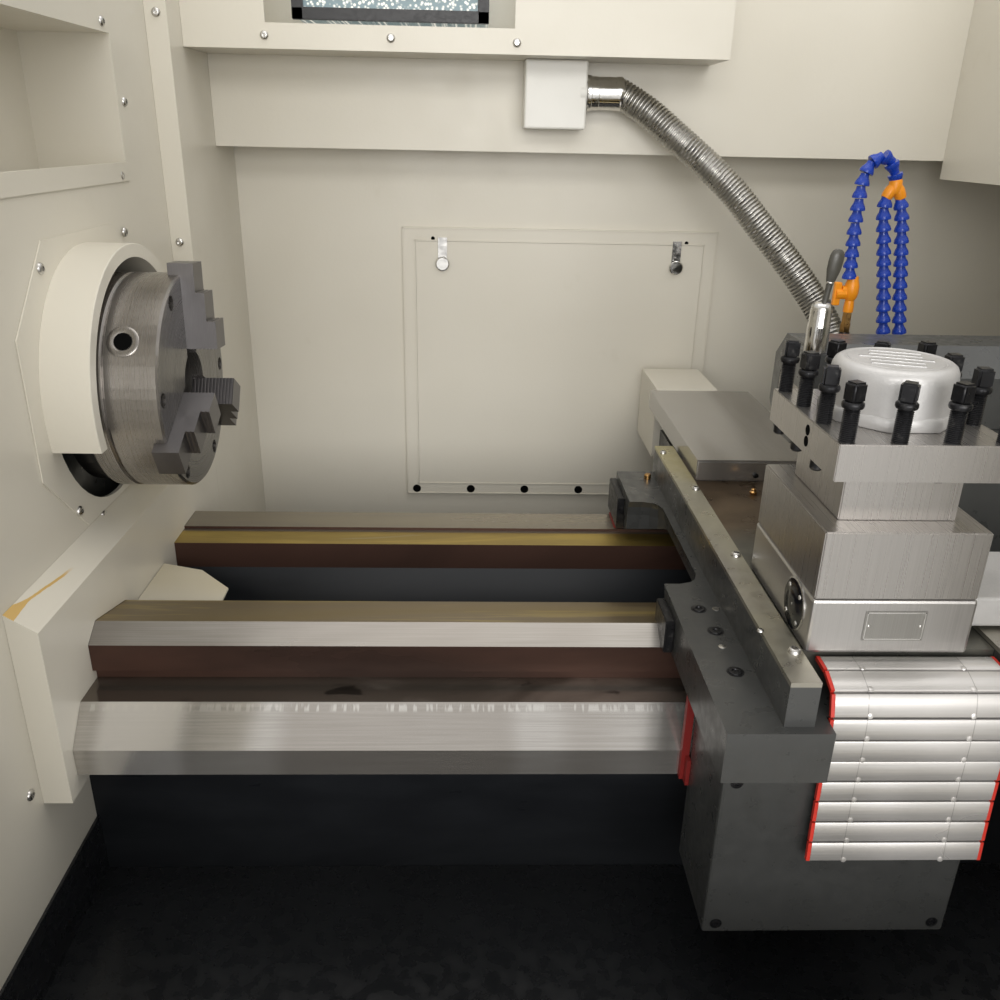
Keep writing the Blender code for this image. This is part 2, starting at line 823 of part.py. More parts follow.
def make_hatch():
    """The removable hatch panel and its two turning latches."""
    border = HATCH_BORDER + SEAT
    front = CASE_BACK - HATCH_FRAME_DEEP
    panel = box(
        "hatch_panel",
        (HATCH_LEFT + border, front, HATCH_BOTTOM + border / 2),
        (HATCH_RIGHT - border, CASE_BACK - SEAT, HATCH_TOP - border),
    )
    pin = LATCH_NUT / 2
    for spot in (LATCH_LEFT, LATCH_RIGHT):
        cut(panel, rod("latch_hole", "Y", (spot, LATCH_HEIGHT), pin + SEAT, front - OVERRUN, CASE_BACK))
    finish(panel, CREAM)
    for number, spot in enumerate((LATCH_LEFT, LATCH_RIGHT), 1):
        at = (spot, front - SEAT, LATCH_HEIGHT)
        back = front - SEAT
        arm = box(
            f"hatch_latch_{number}",
            (spot - LATCH_WIDTH / 2, back - LATCH_THICK, LATCH_HEIGHT - LATCH_WIDTH / 2),
            (spot + LATCH_WIDTH / 2, back, LATCH_HEIGHT + LATCH_ARM),
            at,
        )
        nut = rod("latch_nut", "Y", (spot, LATCH_HEIGHT), LATCH_NUT, back - 3 * LATCH_THICK, back, sides=6)
        stem = rod(
            "latch_stem", "Y", (spot, LATCH_HEIGHT), pin, back - LATCH_THICK, CASE_BACK - 2 * SEAT
        )
        join(arm, nut, stem)
        finish(arm, GROUND)


def make_back_beam():
    """The boxed-in beam along the top of the rear wall."""
    right = CASE_RIGHT - SHEET - SEAT
    beam = box("back_beam", (CORNER_X + SEAT, BEAM_Y, BEAM_BOTTOM), (right, BEAM_Y + SHEET, CASE_TOP))
    lower = box(
        "beam_floor", (CORNER_X + SEAT, BEAM_Y, BEAM_BOTTOM), (right, CASE_BACK - SEAT, BEAM_BOTTOM + SHEET)
    )
    join(beam, lower)
    finish(beam, CREAM)


def make_lamp():
    """The lamp's panel with its window, and the lamp behind it."""
    left = CORNER_X + SEAT
    back = BEAM_Y - SEAT
    panel = box(
        "lamp_panel",
        (left, LAMP_PANEL_Y, LAMP_PANEL_BOTTOM),
        (LAMP_PANEL_RIGHT, back, CASE_TOP),
    )
    inside = box(
        "lamp_panel_inside",
        (left - OVERRUN, LAMP_PANEL_Y + SHEET, LAMP_PANEL_BOTTOM + SHEET),
        (LAMP_PANEL_RIGHT - SHEET, back + OVERRUN, CASE_TOP + OVERRUN),
    )
    window = box(
        "lamp_window",
        (LAMP_WINDOW_LEFT, LAMP_PANEL_Y - OVERRUN, LAMP_WINDOW_BOTTOM),
        (LAMP_WINDOW_RIGHT, LAMP_PANEL_Y + OVERRUN, LAMP_WINDOW_TOP),
    )
    cut(panel, inside, window)
    finish(panel, CREAM)
    bottom = LAMP_WINDOW_BOTTOM + LAMP_GAP / 2
    lamp = box(
        "lamp",
        (LAMP_LEFT, LAMP_PANEL_Y + LAMP_GAP, bottom),
        (LAMP_RIGHT, back - SEAT, bottom + LAMP_HEIGHT),
    )
    finish(soften(lamp, SHEET), LAMP_WHITE)


def make_cable_box():
    """The closed box at the upper right of the work space."""
    right = CASE_RIGHT - SHEET - 2 * SEAT
    made = box(
        "cable_box",
        (CABLE_BOX_LEFT, CABLE_BOX_FRONT, CABLE_BOX_BOTTOM),
        (right, BEAM_Y - SEAT, CASE_TOP),
    )
    inside = box(
        "cable_box_inside",
        (CABLE_BOX_LEFT + SHEET, CABLE_BOX_FRONT + SHEET, CABLE_BOX_BOTTOM + SHEET),
        (right + OVERRUN, BEAM_Y + OVERRUN, CASE_TOP - SHEET),
    )
    cut(made, inside)
    finish(made, CREAM)


def make_right_cover():
    """The cover of the machine's right end."""
    low = Vector((CASE_RIGHT - CORNER_Y / 2, CASE_FRONT, CASE_FOOT))
    high = Vector((CASE_RIGHT, CASE_BACK, CASE_TOP))
    made = box("right_cover", (CASE_RIGHT - SHEET, low.y, low.z), high)
    return finish(made, CREAM)


def make_front_frame():
    """The front skin with the door opening, the sill behind it and the doors' rails."""
    left = WALL_X + SEAT
    right = CASE_RIGHT - SHEET - SEAT
    frame = box("front_frame", (left, CASE_FRONT, CASE_FOOT), (right, CASE_FRONT + SHEET, CASE_TOP))
    opening = box(
        "front_opening",
        (OPENING_LEFT, CASE_FRONT - OVERRUN, OPENING_BOTTOM),
        (OPENING_RIGHT, CASE_FRONT + OVERRUN, OPENING_TOP),
    )
    sill = box(
        "sill",
        (left, CASE_FRONT + SHEET / 2, SILL_TOP - SHEET),
        (right, SILL_BACK, SILL_TOP),
    )
    inner = box(
        "sill_inner", (left, SILL_BACK - SHEET, TRAY_FLOOR), (right, SILL_BACK, SILL_TOP - SHEET / 2)
    )
    middle = (CASE_FRONT + SHEET + DOOR_SKIN_GAP + DOOR_BACK) / 2
    rail = box(
        "door_rail",
        (left, middle - SHEET, SILL_TOP - SHEET / 2),
        (right, middle + SHEET, DOOR_BOTTOM - SEAT),
    )
    header = box(
        "door_header",
        (left, CASE_FRONT + SHEET / 2, DOOR_TOP + SEAT),
        (right, SILL_BACK, DOOR_TOP + SEAT + SHEET),
    )
    join(frame, sill, inner, rail, header)
    cut(frame, opening)
    finish(frame, CREAM)


def make_door(side, start, handle_x):
    """One sliding door leaf with its window pane and handle."""
    front = DOOR_BACK - DOOR_THICK
    end = start + DOOR_WIDTH
    at = (start, front, DOOR_BOTTOM)
    leaf = box(f"door_{side}", (start, front, DOOR_BOTTOM), (end, DOOR_BACK, DOOR_TOP), at)
    window = box(
        "door_window",
        (start + PANE_MARGIN, front - OVERRUN, 0 - PANE_MARGIN),
        (end - PANE_MARGIN, DOOR_BACK + OVERRUN, DOOR_TOP - PANE_MARGIN),
    )
    cut(leaf, window)
    bar = rod(
        "door_bar",
        "Z",
        (handle_x, front - HANDLE_REACH),
        HANDLE_BAR,
        -HANDLE_HEIGHT / 2,
        HANDLE_HEIGHT / 2,
    )
    join(leaf, bar)
    for height in (-HANDLE_HEIGHT / 2 + 2 * HANDLE_BAR, HANDLE_HEIGHT / 2 - 2 * HANDLE_BAR):
        leg = rod("door_leg", "Y", (handle_x, height), HANDLE_BAR / 2, front - HANDLE_REACH, front + SHEET)
        join(leaf, leg)
    finish(leaf, CREAM)
    lap = DOOR_LAP
    pane = box(
        f"door_pane_{side}",
        (start + PANE_MARGIN - lap, DOOR_BACK + SEAT, -PANE_MARGIN - lap),
        (end - PANE_MARGIN + lap, DOOR_BACK + SEAT + PANE_THICK, DOOR_TOP - PANE_MARGIN + lap),
        at,
    )
    finish(pane, GLASS)


def make_z_drive():
    """The lengthwise screw, its motor behind the wall and its stainless cover."""
    start = CORNER_X + SEAT
    end = SCREW_BLOCK_RIGHT - SEAT
    skin = Z_COVER_SHEET
    outer = [
        (BED_FRONT - SEAT, Z_COVER_TOP),
        (Z_COVER_BEND, Z_COVER_TOP),
        (Z_COVER_FRONT, Z_COVER_SLANT),
        (Z_COVER_FRONT, Z_COVER_BOTTOM),
    ]
    inner = [
        (Z_COVER_FRONT + skin, Z_COVER_BOTTOM),
        (Z_COVER_FRONT + skin, Z_COVER_SLANT + skin / 2),
        (Z_COVER_BEND + skin / 2, Z_COVER_TOP - skin),
        (BED_FRONT - SEAT, Z_COVER_TOP - skin),
    ]
    finish(plate("z_screw_cover", "X", outer + inner, start, end), STAINLESS)
    at = (0, SCREW_Y, SCREW_Z)
    screw = rod(
        "z_screw", "X", (SCREW_Y, SCREW_Z), SCREW_RADIUS, SCREW_LEFT, BED_RIGHT - 2 * RUNNING, at, SMALL
    )
    finish(screw, GROUND)
    half = Z_MOTOR_HALF
    motor_end = SCREW_LEFT - SEAT
    y_side = BED_FRONT - SEAT
    motor = box(
        "z_motor",
        (motor_end - Z_MOTOR_LENGTH, y_side - 2 * half, SCREW_Z - half),
        (motor_end, y_side, SCREW_Z + half),
    )
    finish(soften(motor, OVERRUN / 2), BLACK)


def make_spindle_motor():
    """The main motor, low behind the left pedestal."""
    start = BED_LEFT + OVERRUN
    motor = rod(
        "spindle_motor",
        "X",
        (MOTOR_Y, MOTOR_Z),
        MOTOR_RADIUS,
        start,
        start + MOTOR_LENGTH,
        sides=ROUND,
    )
    foot = box(
        "motor_foot",
        (start + OVERRUN, PEDESTAL_BACK + SEAT, MOTOR_Z - MOTOR_RADIUS / 2),
        (start + MOTOR_LENGTH - OVERRUN, MOTOR_Y, MOTOR_Z + MOTOR_RADIUS / 2),
    )
    join(motor, foot)
    finish(motor, BLACK)


def make_spindle():
    """The hollow spindle with its nose flange and belt pulley."""
    nose_back = WALL_X - SEAT
    nose_front = -CHUCK_LENGTH - BACK_PLATE_THICK - 2 * SEAT
    profile = [
        (NOSE_RADIUS, nose_front),
        (NOSE_RADIUS, nose_back),
        (SPINDLE_RADIUS, nose_back),
        (SPINDLE_RADIUS, HEAD_LEFT - OVERRUN),
        (PULLEY_RADIUS, HEAD_LEFT - OVERRUN),
        (PULLEY_RADIUS, HEAD_LEFT - OVERRUN - PULLEY_WIDTH),
        (SPINDLE_RADIUS, HEAD_LEFT - OVERRUN - PULLEY_WIDTH),
        (SPINDLE_RADIUS, SPINDLE_LEFT),
        (BORE_RADIUS, SPINDLE_LEFT),
        (BORE_RADIUS, nose_front),
        (NOSE_RADIUS, nose_front),
    ]
    finish(turned("spindle", "X", profile, steps=ROUND), CHUCK_STEEL)


def around(made, angle):
    """Turn an object made on +Z about the spindle's axis, to an angle counted from +Y to +Z."""
    made.rotation_euler = (math.radians(angle - 90), 0, 0)
    spot = Matrix.Rotation(math.radians(angle - 90), 3, "X") @ made.location
    made.location = spot
    return made


JAW_ANGLES = (86.5, 206.5, 326.5)
PINION_ANGLES = (146.5, 266.5, 26.5)
FACE_HOLE_TURN = 30


def make_chuck():
    """The chuck's body, back plate, scroll, three pinions and three stepped jaws."""
    edge = CHUCK_EDGE
    radius = CHUCK_RADIUS
    profile = [
        (radius - edge, 0),
        (radius, -edge),
        (radius, -CHUCK_LENGTH + edge),
        (radius - edge, -CHUCK_LENGTH),
        (BORE_RADIUS, -CHUCK_LENGTH),
        (BORE_RADIUS, 0),
        (radius - edge, 0),
    ]
    body = turned("chuck_body", "X", profile)
    recess_front = -CHUCK_LENGTH + SCROLL_THICK + 2 * SEAT
    recess = turned(
        "scroll_recess",
        "X",
        ring(SCROLL_OUTER + SEAT, SCROLL_INNER - SEAT, -CHUCK_LENGTH - OVERRUN, recess_front),
    )
    cut(body, recess)
    root = JAW_ROOT + SEAT
    for angle in JAW_ANGLES:
        slot = box(
            "jaw_slot",
            (-root, -JAW_WIDTH / 2 - SEAT, 0),
            (OVERRUN, JAW_WIDTH / 2 + SEAT, radius + OVERRUN),
        )
        cut(body, around(slot, angle))
        for turn in (-FACE_HOLE_TURN, FACE_HOLE_TURN):
            drill = rod(
                "face_hole", "X", (0, FACE_HOLE_CIRCLE), FACE_HOLE_RADIUS, -FACE_HOLE_DEPTH, OVERRUN, sides=12
            )
            cut(body, around(drill, angle + turn))
    pinion_top = radius - PINION_SINK
    for angle in PINION_ANGLES:
        hole = rod(
            "pinion_hole",
            "Z",
            (PINION_X, 0),
            PINION_RADIUS + SEAT,
            pinion_top - PINION_LENGTH - SEAT,
            radius + OVERRUN,
        )
        cut(body, around(hole, angle))
    finish(body, CHUCK_STEEL)
    plate_front = -CHUCK_LENGTH - SEAT
    plate_back = plate_front - BACK_PLATE_THICK
    back_profile = [
        (radius - edge, plate_front),
        (radius, plate_front - edge),
        (radius, plate_back + edge),
        (radius - edge, plate_back),
        (BORE_RADIUS, plate_back),
        (BORE_RADIUS, plate_front),
        (radius - edge, plate_front),
    ]
    finish(turned("chuck_back_plate", "X", back_profile), CHUCK_STEEL)
    scroll = turned(
        "chuck_scroll",
        "X",
        ring(SCROLL_OUTER, SCROLL_INNER, -CHUCK_LENGTH + SEAT, -CHUCK_LENGTH + SCROLL_THICK + SEAT),
        steps=ROUND,
    )
    finish(scroll, GROUND)
    for number, angle in enumerate(PINION_ANGLES, 1):
        at = (PINION_X, 0, pinion_top)
        pinion = rod(
            f"chuck_pinion_{number}",
            "Z",
            (PINION_X, 0),
            PINION_RADIUS,
            pinion_top - PINION_LENGTH,
            pinion_top,
            at,
        )
        socket = box(
            "key_socket",
            (PINION_X - KEY_HALF, -KEY_HALF, pinion_top - KEY_DEPTH),
            (PINION_X + KEY_HALF, KEY_HALF, pinion_top + OVERRUN),
        )
        around(pinion, angle)
        cut(pinion, around(socket, angle))
        finish(pinion, GROUND)
    for number, angle in enumerate(JAW_ANGLES, 1):
        make_jaw(number, angle)


def serrated(start, end, radius, deep):
    """The points of a gripping face between two x places, with a row of notches cut into the jaw."""
    count = max(1, round(abs(end - start) / JAW_TOOTH))
    pitch = (end - start) / count
    points = []
    for number in range(count):
        near = start + number * pitch
        points += [(near, radius), (near + pitch / 2, radius), (near + pitch * 3 / 4, radius + deep)]
    return [*points, (end, radius)]


def jaw_profile():
    """The jaw's stepped side as (x, height above the spindle) points, with its serrations."""
    step = (JAW_OUTER - JAW_INNER) / 3
    deep = JAW_TOOTH / 4
    points = [(-JAW_ROOT, JAW_OUTER), *serrated(-JAW_ROOT, JAW_HEIGHT, JAW_INNER, deep)]
    for count in range(1, 3):
        high = JAW_HEIGHT - (count - 1) * JAW_RISE
        points += serrated(high, high - JAW_RISE, JAW_INNER + count * step, -deep)
    points.append((JAW_HEIGHT - 2 * JAW_RISE, JAW_OUTER))
    return points


def make_jaw(number, angle):
    """One stepped, serrated jaw in its radial slot."""
    half = JAW_WIDTH / 2
    jaw = plate(f"chuck_jaw_{number}", "Y", jaw_profile(), -half, half)
    around(jaw, angle)
    finish(jaw, CHUCK_STEEL)


def saddle_profile():
    """The saddle's section as (y, z) points, over the ways with a running gap."""
    gap = SEAT
    return [
        (SADDLE_FRONT, SADDLE_TOP),
        (SADDLE_FRONT, SADDLE_BOTTOM),
        (V_OUTER_Y - gap, SADDLE_BOTTOM),
        (V_OUTER_Y - gap, V_OUTER_Z + gap),
        (V_PEAK_Y, V_PEAK_Z + gap),
        (V_INNER_Y, V_INNER_Z + gap),
        (V_INNER_Y + OVERRUN, V_PEAK_Z),
        (REAR_WAY_FRONT - OVERRUN, V_PEAK_Z),
        (REAR_WAY_STEP + gap, REAR_WAY_TOP + gap),
        (REAR_WAY_BACK + gap, REAR_WAY_TOP + gap),
        (REAR_WAY_BACK + gap, REAR_WAY_TOP - KEEPER_DROP),
        (SADDLE_BACK, REAR_WAY_TOP - KEEPER_DROP),
        (SADDLE_BACK, SADDLE_TOP),
    ]


def make_saddle():
    """The carriage's saddle casting with its waist, slide strips, rear arm and conduit post."""
    saddle = plate("saddle", "X", saddle_profile(), SADDLE_LEFT, SADDLE_RIGHT)
    sides = {"left": (SADDLE_LEFT - OVERRUN * 5, BRIDGE_LEFT), "right": (BRIDGE_RIGHT, SADDLE_RIGHT + OVERRUN * 5)}
    for side, (start, end) in sides.items():
        waist = box(
            f"waist_{side}",
            (start, FRONT_WING_BACK, SADDLE_TOP - WAY_DEPTH * 3),
            (end, REAR_WING_FRONT, SADDLE_TOP + OVERRUN),
        )
        soften(waist, (end - start) / 3, 4)
        cut(saddle, waist)
    strips = {"left": BRIDGE_LEFT, "right": BRIDGE_RIGHT - STRIP_WIDTH}
    for side, start in strips.items():
        strip = box(
            f"strip_{side}",
            (start, SADDLE_FRONT + OVERRUN, SADDLE_TOP - OVERRUN),
            (start + STRIP_WIDTH, STRIP_BACK, STRIP_TOP),
        )
        join(saddle, strip)
    arm = box(
        "rear_arm",
        (ARM_LEFT, SADDLE_BACK - OVERRUN, SADDLE_TOP - ARM_THICK),
        (X_MOTOR_RIGHT, ARM_BACK - SEAT, SADDLE_TOP - SEAT),
    )
    side_arm = box(
        "side_arm",
        (ARM_LEFT + OVERRUN, SADDLE_BACK - OVERRUN, SADDLE_TOP - ARM_THICK),
        (ARM_RIGHT, ARM_SIDE_BACK, SADDLE_TOP - SHEET),
    )
    half = POST_HALF / 2
    post = box(
        "conduit_post",
        (CONDUIT_X - half, CONDUIT_Y - half, SADDLE_TOP - ARM_THICK / 2),
        (CONDUIT_X + half, CONDUIT_Y + half, CONDUIT_FOOT - SEAT),
    )
    notch = box(
        "roll_notch",
        (ROLL_LEFT - RUNNING, SADDLE_FRONT - OVERRUN, SADDLE_BOTTOM - OVERRUN),
        (ROLL_RIGHT + RUNNING, ROLL_NOTCH, SADDLE_TOP + OVERRUN),
    )
    join(saddle, arm, side_arm, post)
    cut(saddle, notch)
    finish(saddle, CAST)


def make_apron():
    """The apron below the saddle's front, with the ball nut round the lengthwise screw."""
    apron = box(
        "apron",
        (APRON_LEFT, APRON_FRONT, APRON_BOTTOM),
        (APRON_RIGHT, APRON_BACK, SADDLE_BOTTOM - SEAT),
    )
    soften(apron, SHEET)
    arm = box(
        "nut_arm",
        (NUT_LEFT, APRON_BACK - OVERRUN, NUT_ARM_BOTTOM),
        (NUT_RIGHT, SCREW_Y + SCREW_RADIUS, NUT_ARM_TOP),
    )
    neck = box(
        "nut_neck",
        (NUT_LEFT, SCREW_Y - SCREW_RADIUS, NUT_ARM_BOTTOM),
        (NUT_RIGHT, SCREW_Y + SCREW_RADIUS, SCREW_Z),
    )
    nut = rod("ball_nut", "X", (SCREW_Y, SCREW_Z), NUT_RADIUS, NUT_LEFT, NUT_RIGHT, sides=MIDDLE)
    bore = rod(
        "nut_bore", "X", (SCREW_Y, SCREW_Z), SCREW_RADIUS + SEAT, NUT_LEFT - OVERRUN, NUT_RIGHT + OVERRUN
    )
    join(apron, arm, neck, nut)
    cut(apron, bore)
    finish(apron, CAST)


def make_wiper():
    """The red wiper lip of the stainless cover, on the apron's left side."""
    side = APRON_LEFT - SEAT
    made = box(
        "z_wiper",
        (side - WIPER_THICK, Z_COVER_FRONT - WIPER_THICK, Z_COVER_BOTTOM),
        (side, Z_COVER_FRONT - RUNNING, SADDLE_BOTTOM - SEAT),
    )
    foot = box(
        "wiper_foot",
        (side - WIPER_THICK / 2, APRON_BACK - WIPER_THICK, Z_COVER_BOTTOM),
        (side, Z_COVER_FRONT - RUNNING, Z_COVER_SLANT),
    )
    join(made, foot)
    finish(made, RED)


ROLL_BEND_SHARES = ((0.0, 0.0), (0.78, 0.06), (0.91, 0.29), (0.89, 0.52), (0.93, 0.76), (1.0, 1.0))


def make_roll_cover():
    """The slatted roller blind over the saddle's front, hanging before the apron."""
    reach = ROLL_BACK - ROLL_FRONT
    fall = ROLL_TOP - ROLL_BOTTOM
    outer = []
    for across, down in ROLL_BEND_SHARES:
        outer.append((ROLL_BACK - across * reach, ROLL_TOP - down * fall))
    inner = [(y + ROLL_SHEET, z - ROLL_SHEET) for y, z in reversed(outer)]
    blind = plate("roll_cover", "X", outer + inner, ROLL_LEFT, ROLL_RIGHT)
    finish(blind, ALUMINIUM)


def make_x_covers():
    """The stainless channel over the cross slide's rear and the cream cover of its motor."""
    front = X_COVER_FRONT
    back = ARM_BACK - SEAT
    bottom = SLIDE_TOP + RUNNING
    channel = box("x_cover", (X_COVER_LEFT, front, bottom), (X_COVER_RIGHT, back, X_COVER_TOP))
    hollow = box(
        "x_cover_hollow",
        (X_COVER_LEFT + SHEET, front + SHEET, bottom - OVERRUN),
        (X_COVER_RIGHT - SHEET, back + OVERRUN, X_COVER_TOP - SHEET),
    )
    cut(channel, hollow)
    finish(channel, STAINLESS)
    right = X_MOTOR_RIGHT
    cover = box(
        "x_motor_cover",
        (X_MOTOR_LEFT, ARM_BACK, SADDLE_TOP - ARM_THICK),
        (right, X_MOTOR_BACK, X_MOTOR_TOP),
    )
    inside = box(
        "x_motor_inside",
        (X_MOTOR_LEFT + SHEET, ARM_BACK + SHEET, SADDLE_TOP - ARM_THICK - OVERRUN),
        (right - SHEET, X_MOTOR_BACK - SHEET, X_MOTOR_TOP - SHEET),
    )
    cut(cover, inside)
    finish(cover, CREAM)


def make_junction_box():
    """The junction box on the beam, with the conduit's gland."""
    back = BEAM_Y - SEAT
    made = box(
        "junction_box",
        (JUNCTION_LEFT, back - JUNCTION_DEPTH, JUNCTION_BOTTOM),
        (JUNCTION_RIGHT, back, JUNCTION_TOP),
    )
    soften(made, SHEET)
    gland = rod(
        "conduit_gland",
        "X",
        (GLAND_Y, GLAND_HEIGHT),
        GLAND_RADIUS,
        JUNCTION_RIGHT - OVERRUN,
        JUNCTION_RIGHT + GLAND_LENGTH,
        sides=ROUND,
    )
    join(made, gland)
    finish(made, CREAM)


# The conduit's route from the gland to the carriage's post, chosen by hand from the photograph
CONDUIT_ROUTE = (
    (0.5445, 0.45, 0.34),
    (0.556, 0.45, 0.34),
    (0.600, 0.442, 0.315),
    (0.645, 0.428, 0.280),
    (0.690, 0.415, 0.244),
    (0.735, 0.398, 0.203),
    (0.775, 0.380, 0.157),
    (0.825, 0.360, 0.100),
    (0.862, 0.338, 0.050),
    (0.882, 0.315, 0.012),
    (0.89, 0.30, -0.02),
    (0.89, 0.30, -0.0798),
)


def make_conduit():
    """The flexible conduit between the junction box and the carriage."""
    curve = bpy.data.curves.new("conduit", "CURVE")
    curve.dimensions = "3D"
    curve.bevel_depth = CONDUIT_RADIUS
    curve.bevel_resolution = 3
    curve.use_fill_caps = True
    line = curve.splines.new("POLY")
    line.points.add(len(CONDUIT_ROUTE) - 1)
    for spot, place in zip(line.points, CONDUIT_ROUTE):
        spot.co = (*place, 1)
    tube = bpy.data.objects.new("conduit", curve)
    PARTS.objects.link(tube)
    tube.parent = LINE
    finish(tube, ALUMINIUM)


def make_cross_slide():
    """The cross slide between the saddle's strips."""
    made = box(
        "cross_slide",
        (BRIDGE_LEFT + STRIP_WIDTH + RUNNING, SLIDE_FRONT, SADDLE_TOP + SEAT),
        (BRIDGE_RIGHT - STRIP_WIDTH - RUNNING, SLIDE_BACK, SLIDE_TOP),
    )
    finish(made, CAST)


def make_turret_base():
    """The turret's fixed base on the cross slide, with the round cover on its left side."""
    base = box(
        "turret_base",
        (TURRET_X - BASE_HALF_X, TURRET_Y - BASE_HALF_Y, SLIDE_TOP + SEAT),
        (TURRET_X + BASE_HALF_X, TURRET_Y + BASE_HALF_Y, BASE_TOP),
    )
    soften(base, SHEET)
    finish(base, GROUND)
    left = TURRET_X + BASE_HALF_X + SEAT
    clear = STRIP_TOP + SHEET
    right_strip = BRIDGE_RIGHT + SHEET * 2
    points = [
        (left, MOTOR_BOX_TOP),
        (MOTOR_BOX_RIGHT, MOTOR_BOX_TOP),
        (MOTOR_BOX_RIGHT, MOTOR_BOX_LOW),
        (right_strip, MOTOR_BOX_LOW),
        (right_strip, clear),
        (left, clear),
    ]
    motor = plate("turret_motor", "Y", points, TURRET_Y - MOTOR_BOX_HALF, TURRET_Y + MOTOR_BOX_HALF)
    finish(soften(motor, SHEET), ALUMINIUM)


def turret_block(name, half_x, half_y, low, high, at=(0, 0, 0)):
    """One layer of the turret, centred on its turning axis."""
    return box(
        name,
        (TURRET_X - half_x, TURRET_Y - half_y, low),
        (TURRET_X + half_x, TURRET_Y + half_y, high),
        at,
    )


def make_turret():
    """The indexing four-way turret with its clamping bolts, and its cap."""
    at = (TURRET_X, TURRET_Y, TURRET_BOTTOM)
    turret = turret_block("turret", TURRET_PLATE_X, TURRET_PLATE_Y, TURRET_NECK_TOP, TURRET_TOP, at)
    flange = turret_block(
        "turret_flange", TURRET_FLANGE_X, TURRET_FLANGE_Y, TURRET_BOTTOM, TURRET_FLANGE_TOP
    )
    neck = turret_block(
        "turret_neck", TURRET_NECK_X, TURRET_NECK_Y, TURRET_FLANGE_TOP - SHEET, TURRET_NECK_TOP + SHEET
    )
    join(turret, neck, flange)
    row_x = TURRET_PLATE_X - BOLT_INSET
    row_y = TURRET_PLATE_Y - BOLT_INSET
    for count in range(3):
        share = count * 2 / 3 - 1
        corners = ((share, -1), (1, share), (-share, 1), (-1, -share))
        for across, along in corners:
            spot = (TURRET_X + across * row_x, TURRET_Y + along * row_y)
            low = TURRET_NECK_TOP - OVERRUN
            top = TURRET_TOP + BOLT_TALL
            shank = rod("bolt_shank", "Z", spot, BOLT_RADIUS, low, top - BOLT_HEAD_TALL, sides=8)
            head = box(
                "bolt_head",
                (spot[0] - BOLT_HEAD, spot[1] - BOLT_HEAD, top - BOLT_HEAD_TALL),
                (spot[0] + BOLT_HEAD, spot[1] + BOLT_HEAD, top),
            )
            join(turret, shank, head)
    finish(turret, GROUND)
    dome = CAP_RADIUS / 5
    profile = [
        (0, CAP_HEIGHT),
        (CAP_RADIUS - dome, CAP_HEIGHT),
        (CAP_RADIUS - dome / 4, CAP_HEIGHT - dome / 3),
        (CAP_RADIUS, CAP_HEIGHT - dome),
        (CAP_RADIUS, SEAT),
        (0, SEAT),
    ]
    cap = turned("turret_cap", "Z", profile, (TURRET_X, TURRET_Y, TURRET_TOP), MIDDLE)
    finish(cap, ALUMINIUM)


